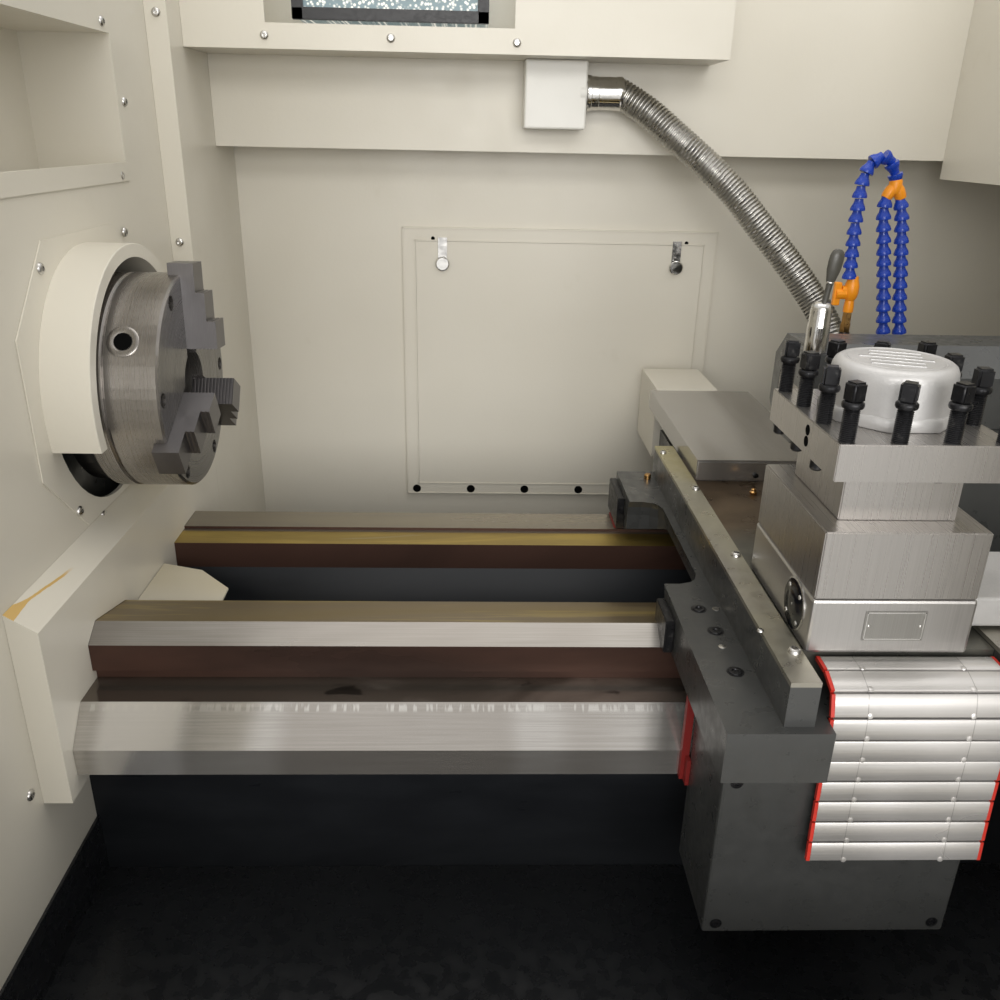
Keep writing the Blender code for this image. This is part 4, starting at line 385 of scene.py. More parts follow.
def slat_aluminium():
    """Satin extruded aluminium with lengthwise lines and soft painted highlight bands."""
    made = Finish("slat_aluminium", (0.62, 0.61, 0.60), 0.34, 0.55, Anisotropic=0.3)
    lines = made.noise(900.0, 2.0, (0.015, 1.0, 1.0))
    wide = made.noise(10.0, 3.0, (0.4, 1.0, 1.0))
    tone = made.mix(made.ramp(lines, 0.3, 0.7), (0.46, 0.445, 0.425), (0.53, 0.515, 0.495))
    # Painted highlight bands: noise varying mostly along X lightens the slats in soft upright bands
    painted_reflection_bands = made.noise(9.0, 1.0, (1.0, 0.6, 0.6))
    tone = made.over(tone, painted_reflection_bands, 0.4, 0.62, 0.6, (0.72, 0.70, 0.685))
    for share in (0.2, 0.78):
        middle = SPINDLE.x + ROLL_LEFT + (ROLL_RIGHT - ROLL_LEFT) * share
        seam = made.band(made.axis("X"), middle, 0.0002, 0.0003)
        tone = made.mix(made.times(seam, 0.6), tone, (0.20, 0.19, 0.18))
    made.colour(tone)
    made.rough(wide, 0.24, 0.38)
    made.bump(lines, 0.00003, 0.7)
    return made.material


def moulded(name, colour, rough=0.38, grain=260.0, depth=0.00008, **sockets):
    """Moulded plastic or rubber with a fine grain and a little dirt."""
    made = Finish(name, colour, rough, 0.0, **sockets)
    fine = made.noise(grain, 3.0)
    dirt = made.noise(30.0, 5.0, rough=0.65)
    made.colour(made.mix(made.ramp(dirt, 0.5, 0.8, 0.0, 0.5), colour, scaled(colour, 0.6)))
    made.rough(fine, rough - 0.06, rough + 0.1)
    made.bump(fine, depth, 0.6)
    return made.material


def plated(name, colour, rough):
    """Zinc, brass or chrome plating with light tarnish."""
    made = Finish(name, colour, rough, 1.0)
    tarnish = made.noise(90.0, 4.0, rough=0.6)
    made.colour(made.mix(made.ramp(tarnish, 0.5, 0.8, 0.0, 0.5), colour, scaled(colour, 0.55)))
    made.rough(tarnish, rough - 0.05, rough + 0.14)
    made.bump(tarnish, 0.00004, 0.4)
    return made.material


def black_oxide():
    """Black oxide steel with oil and worn corners."""
    made = Finish("black_oxide", (0.018, 0.018, 0.02), 0.34, 0.6)
    wear = made.noise(120.0, 4.0, rough=0.65)
    made.colour(made.mix(made.ramp(wear, 0.56, 0.72, 0.0, 0.7), (0.018, 0.018, 0.02), (0.085, 0.083, 0.08)))
    made.rough(wear, 0.26, 0.44)
    made.bump(made.noise(500.0, 3.0), 0.00005, 0.6)
    return made.material


def lit_panel():
    """The lamp's diffuser: a pale panel with a fine grid of cells that glows a little."""
    made = Finish("lit_panel", (0.75, 0.78, 0.80), 0.2)
    cells = made.node("TexVoronoi", {"Vector": made.spot((1, 0.01, 1)), "Scale": 210.0})
    glow = made.mix(made.ramp(cells.outputs["Distance"], 0.1, 0.6), (0.9, 0.88, 0.80), (0.16, 0.22, 0.24))
    made.colour(glow)
    made.put(glow, made.shader.inputs["Emission Color"])
    made.shader.inputs["Emission Strength"].default_value = 0.55
    return made.material


def pane_glass():
    """Clear window pane."""
    made = Finish("pane_glass", (0.85, 0.9, 0.88), 0.04, 0.0, Transmission_Weight=1.0, IOR=1.49)
    made.rough(made.noise(8.0, 3.0), 0.03, 0.09)
    return made.material


CREAM = cream_paint()
STAINED = cream_paint("cream_stained", stain=True)
WHITE = cream_paint("white_fitting", (0.80, 0.79, 0.745))
CASTING = casting_paint()
SADDLE = casting_paint("saddle_paint", strips=True)
TAIL = casting_paint("tailstock_paint", (0.066, 0.068, 0.067))
TRAY = casting_paint("tray_paint", (0.012, 0.013, 0.0145), 0.26)
PLATE_STEEL = ground_steel("plate_steel", (0.43, 0.41, 0.39), 0.28)
BASE_STEEL = ground_steel("base_steel", (0.47, 0.455, 0.44), 0.30)
GROUND_STEEL = ground_steel("ground_steel", (0.34, 0.33, 0.31), 0.34)
CHUCK = turned_steel("chuck_steel", (0.33, 0.31, 0.29), (0.17, 0.165, 0.16), 0.27)
DRUM = turned_steel("drum_steel", (0.03, 0.03, 0.032), (0.03, 0.03, 0.032), 0.3)
JAW = ground_steel("jaw_steel", (0.170, 0.162, 0.164), 0.36)
STAINLESS = stainless("z_cover_sheet", (0.015, 1.0, 1.0))
# The x cover: the same stainless with its tones darkened to 0.66 as painted shade
X_SHEET = stainless("x_cover_sheet", (1.0, 0.02, 1.0), False, 0.24, 0.66)
SLIDE = oiled_slide()
BED = way_finish()
CAP = cast_aluminium("cast_aluminium", (0.60, 0.59, 0.58), 0.40, 0.35)
RIB = cast_aluminium("cap_ribs", (0.50, 0.495, 0.49), 0.36, 0.5)
SLAT = slat_aluminium()
CONDUIT = plated("conduit_metal", (0.42, 0.41, 0.385), 0.26)
ZINC = plated("zinc", (0.60, 0.59, 0.57), 0.22)
BRASS = plated("brass", (0.50, 0.29, 0.11), 0.26)
CHROME = plated("chrome", (0.70, 0.69, 0.67), 0.12)
OXIDE = black_oxide()
BLACK = moulded("black_moulding", (0.010, 0.010, 0.012), 0.34)
GLOSS = moulded("black_gloss", (0.004, 0.005, 0.008), 0.14)
LIP = moulded("wiper_rubber", (0.20, 0.012, 0.010), 0.5)
OLIVE = moulded("olive_steel", (0.065, 0.062, 0.052), 0.36)
KEYS = moulded("grey_keys", (0.16, 0.165, 0.17), 0.42)
BLUE = moulded("blue_hose", (0.010, 0.050, 0.40), 0.24, depth=0.00004)
ORANGE = moulded("orange_fitting", (0.95, 0.33, 0.012), 0.34, depth=0.00004)
RED = moulded("red_lip", (0.52, 0.028, 0.016), 0.46)
LIT = lit_panel()
GLASS = pane_glass()
# Near black, matt material for discs and strips set in holes and slots: painted shade standing in for their
# dark insides
PAINTED_HOLE_SHADE = moulded("painted_hole_shade", (0.003, 0.003, 0.003), 0.9, Specular_IOR_Level=0.05)

NODE_FINISH = {
    BED: "bed",
    SADDLE: "saddle",
    SLIDE: "cross_slide",
    CASTING: "pedestal_left pedestal_right headstock apron",
    TAIL: "tailstock",
    TRAY: "chip_tray",
    CREAM: (
        "headstock_cover flange_plate chuck_guard corner_panel back_wall hatch_panel back_beam lamp_panel "
        "right_cover front_frame x_motor_cover door_left door_right control_box cable_box"
    ),
    STAINED: "bed_end_cover",
    WHITE: "junction_box",
    DRUM: "spindle",
    CHUCK: "chuck_back_plate chuck_body chuck_scroll quill",
    JAW: "chuck_jaw_1 chuck_jaw_2 chuck_jaw_3",
    PLATE_STEEL: "turret",
    BASE_STEEL: "turret_base",
    STAINLESS: "z_screw_cover",
    X_SHEET: "x_cover",
    CAP: "turret_cap turret_motor",
    ZINC: "z_screw tailstock_handwheel chuck_pinion_1 chuck_pinion_2 chuck_pinion_3",
    CHROME: "hatch_latch_1 hatch_latch_2",
    OXIDE: "quill_lock",
    BLACK: "z_motor spindle_motor pulse_wheel",
    RED: "stop_button",
    LIP: "z_wiper",
    GLASS: "door_pane_left door_pane_right",
    LIT: "lamp",
    ORANGE: "coolant_valve_knob",
    BLUE: "coolant_line",
    SLAT: "roll_cover",
    CONDUIT: "conduit",
}


def dress_nodes():
    """Give every CAD node its finish."""
    for finish, names in NODE_FINISH.items():
        for name in names.split():
            data = NODES[name].data
            data.materials.clear()
            data.materials.append(finish)


def piece(name, shape, finish, body, smooth=True):
    """A bmesh as a piece that rides on a body."""
    mesh = bpy.data.meshes.new(name)
    bmesh.ops.recalc_face_normals(shape, faces=shape.faces)
    shape.to_mesh(mesh)
    shape.free()
    if smooth:
        for face in mesh.polygons:
            face.use_smooth = True
        mesh.set_sharp_from_angle(angle=math.radians(38))
    mesh.materials.append(finish)
    made = bpy.data.objects.new(name, mesh)
    bpy.context.scene.collection.objects.link(made)
    if body:
        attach(made, body)
    return made


def mm(*pairs):
    """A profile of (radius, height) pairs in millimetres, in metres."""
    return [(radius / 1000, height / 1000) for radius, height in pairs]


def frame_along(direction):
    """A turn that takes +Z to a direction."""
    return Vector(direction).to_track_quat("Z", "Y").to_matrix().to_4x4()


def add_cube(shape, size, matrix):
    """A block of a size, placed by a matrix."""
    made = bmesh.ops.create_cube(shape, size=1)["verts"]
    bmesh.ops.scale(shape, vec=size, verts=made)
    bmesh.ops.transform(shape, matrix=matrix, verts=made)
    return made


def round_edges(shape, verts, offset, segments):
    edges = list({edge for vert in verts for edge in vert.link_edges})
    bmesh.ops.bevel(shape, geom=edges, offset=offset, segments=segments, affect="EDGES")


def add_box(shape, low, high, bevel=0.0):
    """A block between two corners of the spindle's frame, with rounded edges."""
    low, high = at(*low), at(*high)
    made = add_cube(shape, high - low, Matrix.Translation((low + high) / 2))
    if bevel:
        round_edges(shape, made, bevel, 2)


def add_border(shape, edges, near, far, wide, bevel):
    """Four strips inside the (left, right, bottom, top) edges of a rectangle that faces the front."""
    left, right, bottom, top = edges
    for low_x, high_x, low_z, high_z in (
        (left, right, top - wide, top),
        (left, right, bottom, bottom + wide),
        (left, left + wide, bottom, top),
        (right - wide, right, bottom, top),
    ):
        add_box(shape, (low_x, near, low_z), (high_x, far, high_z), bevel)


def skin(shape, rows):
    """Faces between rows of points, each a closed ring, and over both ends."""
    sides = len(rows[0])
    for lower, upper in zip(rows, rows[1:]):
        for count in range(sides):
            after = (count + 1) % sides
            shape.faces.new((lower[count], lower[after], upper[after], upper[count]))
    shape.faces.new(list(reversed(rows[0])))
    shape.faces.new(rows[-1])


def add_turned(shape, profile, place, direction, sides=24):
    """A turned solid: (radius, height) pairs from its base up, about a direction."""
    turn = Matrix.Translation(place) @ frame_along(direction)
    rows = []
    for radius, height in profile:
        row = []
        for count in range(sides):
            angle = 2 * math.pi * count / sides
            spot = Vector((radius * math.cos(angle), radius * math.sin(angle), height))
            row.append(shape.verts.new(turn @ spot))
        rows.append(row)
    skin(shape, rows)


def fitting(name, finish, body, *parts):
    """A piece of turned parts (profile, place, direction, sides) and blocks (low, high, bevel)."""
    shape = bmesh.new()
    for part in parts:
        add = add_box if len(part) == 3 else add_turned
        add(shape, *part)
    return piece(name, shape, finish, body)


def smooth_route(points, step):
    """A smooth line through the points, with a spot about every step."""
    spots = [Vector(p) for p in points]
    spots = [2 * spots[0] - spots[1]] + spots + [2 * spots[-1] - spots[-2]]
    line = []
    for before, start, end, after in zip(spots, spots[1:], spots[2:], spots[3:]):
        count = max(1, round((end - start).length / step))
        for index in range(count):
            t = index / count
            line.append(
                0.5
                * (
                    2 * start
                    + (end - before) * t
                    + (2 * before - 5 * start + 4 * end - after) * t * t
                    + (3 * start - before - 3 * end + after) * t**3
                )
            )
    line.append(spots[-2])
    return line


def add_sweep(shape, line, radius_at, sides=20):
    """A tube along a line. radius_at gives the radius at a length along it."""
    rows = []
    travelled = 0.0
    up = Vector((0, 1, 0.2)).normalized()
    for index, spot in enumerate(line):
        ahead = line[min(index + 1, len(line) - 1)]
        behind = line[max(index - 1, 0)]
        direction = (ahead - behind).normalized()
        if index:
            travelled += (spot - line[index - 1]).length
        side = direction.cross(up).normalized()
        top = side.cross(direction).normalized()
        radius = radius_at(travelled)
        row = []
        for count in range(sides):
            angle = 2 * math.pi * count / sides
            row.append(shape.verts.new(spot + radius * (side * math.cos(angle) + top * math.sin(angle))))
        rows.append(row)
    skin(shape, rows)


# Screws: the direction they face, their plane, and their places in it, with the button head's radius
PANEL_SCREW_RADIUS = 0.0062
RIGHT, LEFT, FRONT, UP = (1, 0, 0), (-1, 0, 0), (0, -1, 0), (0, 0, 1)
PLATE_X = WALL_X + 0.0018
FRAME_SCREWS = (
    (RIGHT, PLATE_X, ((0.131, 0.156), (-0.109, 0.144), (-0.115, -0.122), (0.125, -0.130))),
    (RIGHT, WALL_X, ((0.153, 0.394), (0.194, 0.308), (0.150, 0.222))),
    (RIGHT, WALL_X, ((-0.054, -0.153), (-0.40, 0.20), (-0.40, -0.20))),
    (FRONT, CORNER_Y, ((-0.094, 0.421), (-0.097, 0.124), (-0.097, -0.05))),
    (FRONT, LAMP_Y, ((0.035, 0.402), (0.213, 0.402), (0.392, 0.400))),
    (RIGHT, WALL_X, ((-0.320, -0.346),)),
)


def add_button_screw(shape, place, direction, radius, height=0.55):
    """A button head with its socket recess."""
    profile = [
        (radius, 0.0),
        (radius * 0.98, radius * 0.18),
        (radius * 0.8, radius * height * 0.8),
        (radius * 0.55, radius * height),
        (radius * 0.45, radius * height),
        (radius * 0.42, radius * 0.1),
    ]
    add_turned(shape, profile, place, direction, 18)


def make_panel_screws():
    """The button head screws on the sheet panels."""
    shape = bmesh.new()
    for way, plane, spots in FRAME_SCREWS:
        for along, height in spots:
            place = (plane, along, height) if way is RIGHT else (along, plane, height)
            add_button_screw(shape, at(*place), way, PANEL_SCREW_RADIUS)
    piece("panel_screws", shape, ZINC, "frame")


def add_cap_screw(shape, place, direction, radius):
    """A sunk socket screw: its dark counterbore, its head and its socket."""
    profile = [
        (radius, 0.0),
        (radius, 0.0004),
        (radius * 0.80, 0.0004),
        (radius * 0.78, 0.0011),
        (radius * 0.70, 0.0013),
        (radius * 0.42, 0.0013),
        (radius * 0.36, 0.0002),
    ]
    add_turned(shape, profile, place, direction, 20)


SADDLE_TOP = -0.19
SADDLE_LEFT = 0.5515
STRIP_TOP = -0.145
WING_SCREWS = (
    (0.579, -0.211), (0.619, -0.211), (0.586, -0.257), (0.586, -0.332), (0.845, -0.25), (0.845, -0.33),
)
STRIP_SCREWS = (
    (0.626, 0.026, 0.0052), (0.625, -0.171, 0.0058), (0.624, -0.368, 0.0062), (0.611, 0.168, 0.0048),
    (0.604, -0.332, 0.0034),
)


def make_carriage_screws():
    """The carriage's sunk and bright screws, its oil fittings, and the lip of the slide's cover."""
    shape = bmesh.new()
    for x, y in WING_SCREWS:
        add_cap_screw(shape, at(x, y, SADDLE_TOP), UP, 0.0085)
    for x in (0.578, 0.795):
        for z in (-0.265, -0.438):
            add_cap_screw(shape, at(x, -0.40, z), FRONT, 0.006)
    for y, z in ((-0.176, -0.222), (-0.214, -0.222), (0.145, -0.214), (0.190, -0.232)):
        add_cap_screw(shape, at(SADDLE_LEFT, y, z), LEFT, 0.0042)
    piece("carriage_screws", shape, OXIDE, "carriage")
    bright = bmesh.new()
    for x, y, radius in STRIP_SCREWS:
        add_button_screw(bright, at(x, y, STRIP_TOP), UP, radius, 0.7)
    for x, y in ((0.598, -0.211), (0.585, -0.287)):
        add_turned(bright, mm((4.2, 0), (4.2, 0.4), (3, 0.6)), at(x, y, SADDLE_TOP), UP, 18)
    piece("carriage_bright_screws", bright, ZINC, "carriage")
    fitting(
        "oil_fitting", BRASS, "carriage",
        (mm((5.2, 0), (5.2, 6), (3.6, 8)), at(0.594, 0.180, SADDLE_TOP), UP, 16),
    )
    profile = mm((4.2, 0), (5, 1.2), (5, 3), (3, 4.6), (3.2, 6.2), (1.6, 7.6))
    fitting("slide_nipple", BRASS, "cross_slide", (profile, at(0.702, 0.024, -0.1499), UP, 18))
    fitting("x_cover_lip", X_SHEET, "carriage", ((0.637, 0.0672, -0.1465), (0.804, 0.0695, -0.1225), 0.0006))
    fitting(
        "x_cover_screw", OXIDE, "carriage",
        (mm((3.6, 0), (3.6, 3.4), (2.6, 4)), at(0.716, 0.0672, -0.1400), FRONT, 18),
    )


def make_wipers():
    """The rubber wipers with their steel plates where the saddle meets the ways."""
    plates = bmesh.new()
    lips = bmesh.new()
    for x, way, thick in ((0.553, -1, 0.0105), (0.86, 1, 0.0020)):
        near, far = sorted((x + way * 0.0004, x + way * thick))
        add_box(plates, (near, 0.125, -0.2465), (far, 0.209, -0.2), 0.001)
        add_box(plates, (near, -0.222, -0.2385), (far, -0.168, -0.2), 0.001)
        edge, tip = sorted((x + way * 0.0008, x + way * (thick + 0.0010)))
        add_box(lips, (edge, 0.136, -0.2506), (tip, 0.186, -0.2464), 0.0005)
    piece("way_wiper_plates", plates, OXIDE, "carriage")
    piece("way_wiper_lips", lips, LIP, "carriage")


# The conduit's route, as in part.py
CONDUIT_ROUTE = (
    (0.5445, 0.45, 0.34), (0.556, 0.45, 0.34), (0.600, 0.442, 0.315), (0.645, 0.428, 0.280),
    (0.690, 0.415, 0.244), (0.735, 0.398, 0.203), (0.775, 0.380, 0.157), (0.825, 0.360, 0.100),
    (0.862, 0.338, 0.050), (0.882, 0.315, 0.012), (0.89, 0.30, -0.02), (0.89, 0.30, -0.0798),
)
BOX_OUTLET = (0.5033, 0.45, 0.34)
CONDUIT_PITCH = 0.0058
CONDUIT_RADIUS = 0.0222


def make_conduit():
    """The corrugated metal conduit, which bends between the frame and the carriage."""
    line = smooth_route([at(*place) for place in CONDUIT_ROUTE], CONDUIT_PITCH / 6)
    shape = bmesh.new()

    def radius_at(length):
        phase = (length / CONDUIT_PITCH) % 1
        return CONDUIT_RADIUS - 0.0017 * (0.5 + 0.5 * math.cos(2 * math.pi * phase)) ** 2

    add_sweep(shape, line, radius_at, 24)
    tube = piece("conduit_tube", shape, CONDUIT, None)
    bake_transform(tube)
    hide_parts("conduit")
    profile = mm(
        (23.6, 0), (24, 2), (24, 18), (23.2, 19), (23.6, 22), (23.6, 46),
        (24.4, 48), (24.4, 54), (23.2, 56),
    )
    fitting("conduit_collar", CHROME, "frame", (profile, at(*BOX_OUTLET), RIGHT, 40))
    profile = mm((24.5, 0), (24.5, 16), (23.6, 18), (23.6, 34), (22.8, 36))
    fitting("conduit_foot", ZINC, "carriage", (profile, at(0.89, 0.30, -0.0795), UP, 32))


HOSE_Y = 0.197
HOSE_PITCH = 0.0145
HOSE_BEAD = mm((9.6, 0), (9.8, 2.2), (8.8, 5.5), (6.6, 9.5), (5.8, 12.5), (5.6, 15))
# The hose's routes as (x, z), all in the plane HOSE_Y
HOSE_RISE = (
    (0.854, 0.104), (0.852, 0.142), (0.850, 0.175), (0.850, 0.201), (0.850, 0.226),
    (0.855, 0.248), (0.866, 0.260), (0.879, 0.261), (0.890, 0.246), (0.8955, 0.233),
)
HOSE_FALLS = (
    ((0.916, 0.029), (0.907, 0.080), (0.898, 0.130), (0.887, 0.187), (0.886, 0.207)),
    ((0.939, 0.029), (0.930, 0.080), (0.922, 0.130), (0.912, 0.187), (0.906, 0.207)),
)


def add_beads(shape, route):
    """Bell segments of a coolant hose, one after the other along a route."""
    line = smooth_route([at(x, HOSE_Y, z) for x, z in route], HOSE_PITCH / 8)
    travelled = HOSE_PITCH
    for index, spot in enumerate(line[:-1]):
        if travelled >= HOSE_PITCH:
            ahead = line[min(index + 6, len(line) - 1)]
            add_turned(shape, HOSE_BEAD, spot, ahead - spot, 20)
            travelled = 0.0
        travelled += (line[index + 1] - spot).length


def make_coolant_line():
    """The blue segmented hose, its orange fittings, the brass nipple and the steel pipe."""
    hose = bmesh.new()
    add_beads(hose, HOSE_RISE)
    for route in HOSE_FALLS:
        add_beads(hose, route)
    made = piece("coolant_hose", hose, BLUE, "carriage")
    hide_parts("coolant_line")
    orange = bmesh.new()
    profile = mm(
        (6.8, 0), (7, 8), (6, 16), (8.5, 20), (10, 26), (10, 36),
        (8.5, 41), (7.6, 44), (7.2, 49),
    )
    add_turned(orange, profile, at(0.860, HOSE_Y, 0.058), UP, 24)
    add_turned(orange, mm((6, 0), (6.2, 10)), at(0.8560, HOSE_Y, 0.088), LEFT, 20)
    fork = at(0.8955, HOSE_Y, 0.236)
    add_turned(orange, mm((6.2, 0), (8.5, 3), (8.8, 16), (7, 20)), fork, (0.02, 0, -1), 20)
    for side in (-1, 1):
        start = at(0.8960 + side * 0.002, HOSE_Y, 0.226)
        profile = mm((6.6, 0), (8, 6), (7.8, 14), (6.8, 18))
        add_turned(orange, profile, start, (side * 0.55, 0, -1), 20)
    piece("coolant_fittings", orange, ORANGE, "carriage")
    profile = mm((6.5, 0), (7.2, 1), (7.2, 12), (6.4, 14), (6.4, 26), (5.4, 30))
    fitting("coolant_nipple", BRASS, "carriage", (profile, at(0.860, HOSE_Y, 0.029), UP, 6))
    fitting(
        "coolant_pipe", OXIDE, "carriage",
        (mm((7.5, 0), (7.5, 216.5), (6.8, 218.5)), at(0.860, HOSE_Y, -0.1885), UP, 24),
        ((0.8436, 0.184, -0.1896), (0.875, 0.2105, -0.1836), 0.001),
    )


TURRET = (0.7105, -0.276)
BOLT_ROWS = (0.067, 0.0785)
PLATE_TOP = 0.050
THREAD = 0.0016


def bolt_places():
    """The places of the clamping bolts on the turret's plate, as in part.py."""
    spots = []
    for count in range(3):
        share = count * 2 / 3 - 1
        for painted_reflection_bands, along in ((share, -1), (1, share), (-share, 1), (-1, -share)):
            spots.append((TURRET[0] + painted_reflection_bands * BOLT_ROWS[0], TURRET[1] + along * BOLT_ROWS[1]))
    return spots


def make_turret_blocks():
    """The turret's plate, neck and flange with finer edges, in place of the plain ones."""
    shape = bmesh.new()
    for half_x, half_y, low, high, edge in (
        (0.076, 0.0875, 0.017, PLATE_TOP, 0.0009),
        (0.053, 0.058, -0.0305, 0.0175, 0.0012),
        (0.0735, 0.0855, -0.0948, -0.030, 0.0012),
    ):
        corner = (TURRET[0] - half_x, TURRET[1] - half_y, low)
        add_box(shape, corner, (TURRET[0] + half_x, TURRET[1] + half_y, high), edge)
    made = piece("turret_blocks", shape, PLATE_STEEL, "turret")
    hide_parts("turret")


def make_turret_bolts():
    """Square head bolts in black oxide with their collars, threads and tips."""
    shape = bmesh.new()
    for x, y in bolt_places():
        foot = at(x, y, PLATE_TOP)
        profile = mm((6.4, -1))
        height = 0.0
        while height < 0.0262:
            profile += [(0.0060, height + 0.0002), (0.0069, height + THREAD / 2), (0.0060, height + THREAD)]
            height += THREAD
        profile += mm((6.6, 28.2), (8.6, 29.2), (9.4, 31.2), (9.2, 33.2), (8, 34.6))
        add_turned(shape, profile, foot, UP, 20)
        turn = 0.6 * math.sin(91 * x + 57 * y)
        place = Matrix.Translation(foot + Vector((0, 0, 0.0424))) @ Matrix.Rotation(turn, 4, "Z")
        round_edges(shape, add_cube(shape, (0.0140, 0.0140, 0.0172), place), 0.0021, 3)
        if x < TURRET[0] - 0.05 and y > TURRET[1] - 0.05:
            tip = mm((4.8, 0), (6.2, 1.6), (6.2, 11.5))
            add_turned(shape, tip, at(x, y, 0.0058), UP, 16)
    piece("turret_bolts", shape, OXIDE, "turret")
    # Dark discs on the plate's left face are painted shade for its ports; a small dark block sits under the
    # plate's front
    ports = bmesh.new()
    left = TURRET[0] - 0.076
    for z in (0.0395, 0.0290):
        profile = mm((5, 0), (5, 0.3), (3, 0.4))
        add_turned(ports, profile, at(left + 0.0001, -0.292, z), LEFT, 20)
    add_box(ports, (0.724, -0.3565, 0.0140), (0.732, -0.3505, 0.0172), 0.0008)
    piece("turret_ports", ports, PAINTED_HOLE_SHADE, "turret")


def make_turret_cap():
    """The cast cap with its octagonal foot and raised rings, over the plain one."""
    shape = bmesh.new()
    place = at(TURRET[0], TURRET[1], PLATE_TOP + 0.0003)
    foot = mm((59.6, 0), (60.3, 1), (60.3, 9.5), (58.6, 11.7))
    add_turned(shape, foot, place, UP, 8)
    bmesh.ops.rotate(shape, cent=place, matrix=Matrix.Rotation(math.pi / 8, 3, "Z"), verts=shape.verts[:])
    crown = mm(
        (54.6, 10), (54, 39), (53.2, 44.5), (51.2, 48.8), (48, 51.2), (44.5, 52), (43.2, 51.4),
        (42.4, 50.8), (41.6, 50.8), (40.8, 51.6), (5, 52),
    )
    add_turned(shape, crown, place, UP, 64)
    made = piece("turret_cap_casting", shape, CAP, "turret")
    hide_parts("turret_cap")
    marks = bmesh.new()
    for count in range(5):
        along = -0.026 + 0.013 * count
        half = math.sqrt(0.037**2 - along**2)
        turned = Matrix.Translation(place) @ Matrix.Rotation(-0.35, 4, "Z")
        size = (half * (1.3 if count % 2 else 1.7), 0.0052, 0.0016)
        add_cube(marks, size, turned @ Matrix.Translation((0, along, 0.0518)))
    edges = [edge for edge in marks.edges if edge.calc_length() > 0.003]
    bmesh.ops.bevel(marks, geom=edges, offset=0.0005, segments=2, affect="EDGES")
    piece("turret_cap_ribs", marks, RIB, "turret")


def make_turret_details():
    """The black round cover and the bordered bare plate of the turret's base."""
    centre = at(0.6359, -0.322, -0.121)
    profile = mm((24, 0), (24, 1.2), (15, 1.6), (14, 2.2), (6, 2.4))
    fitting("base_round_cover", GLOSS, "cross_slide", (profile, centre, LEFT, 40))
    rim = bmesh.new()
    add_turned(rim, mm((25.6, 0), (25.6, 0.6), (24.6, 1.1)), centre, LEFT, 40)
    for count in range(4):
        angle = math.pi / 4 + math.pi / 2 * count
        spot = centre + Vector((-0.0012, 0.0190 * math.cos(angle), 0.0190 * math.sin(angle)))
        add_button_screw(rim, spot, LEFT, 0.0024)
    add_button_screw(rim, centre + Vector((-0.0022, 0, 0)), LEFT, 0.0012)
    piece("base_cover_rim", rim, ZINC, "cross_slide")
    front = TURRET[1] - 0.0866
    plate = ((0.685, front - 0.0005, -0.136), (0.741, front, -0.106), 0.0002)
    fitting("base_bare_plate", GROUND_STEEL, "cross_slide", plate)
    border = bmesh.new()
    add_border(border, (0.6865, 0.7395, -0.1348, -0.1072), front - 0.0009, front - 0.0004, 0.0008, 0.0001)
    for x in (0.6895, 0.7365):
        add_button_screw(border, at(x, front - 0.0004, -0.121), FRONT, 0.0015)
    piece("base_plate_border", border, CHROME, "cross_slide")


ROLL_LINE = (
    (-0.3585, -0.1565), (-0.385, -0.1575), (-0.400, -0.1640), (-0.4065, -0.178), (-0.4095, -0.205),
    (-0.4095, -0.254), (-0.4110, -0.298), (-0.4140, -0.3435),
)
ROLL_SLATS = 10
# A slat's section: share of its height, and how far it stands out
SLAT_SECTION = (
    (0.0, -0.0015), (0.0, 0.0014), (0.05, 0.0022), (0.5, 0.0024), (0.95, 0.0022), (1.0, 0.0014),
    (1.0, -0.0015),
)


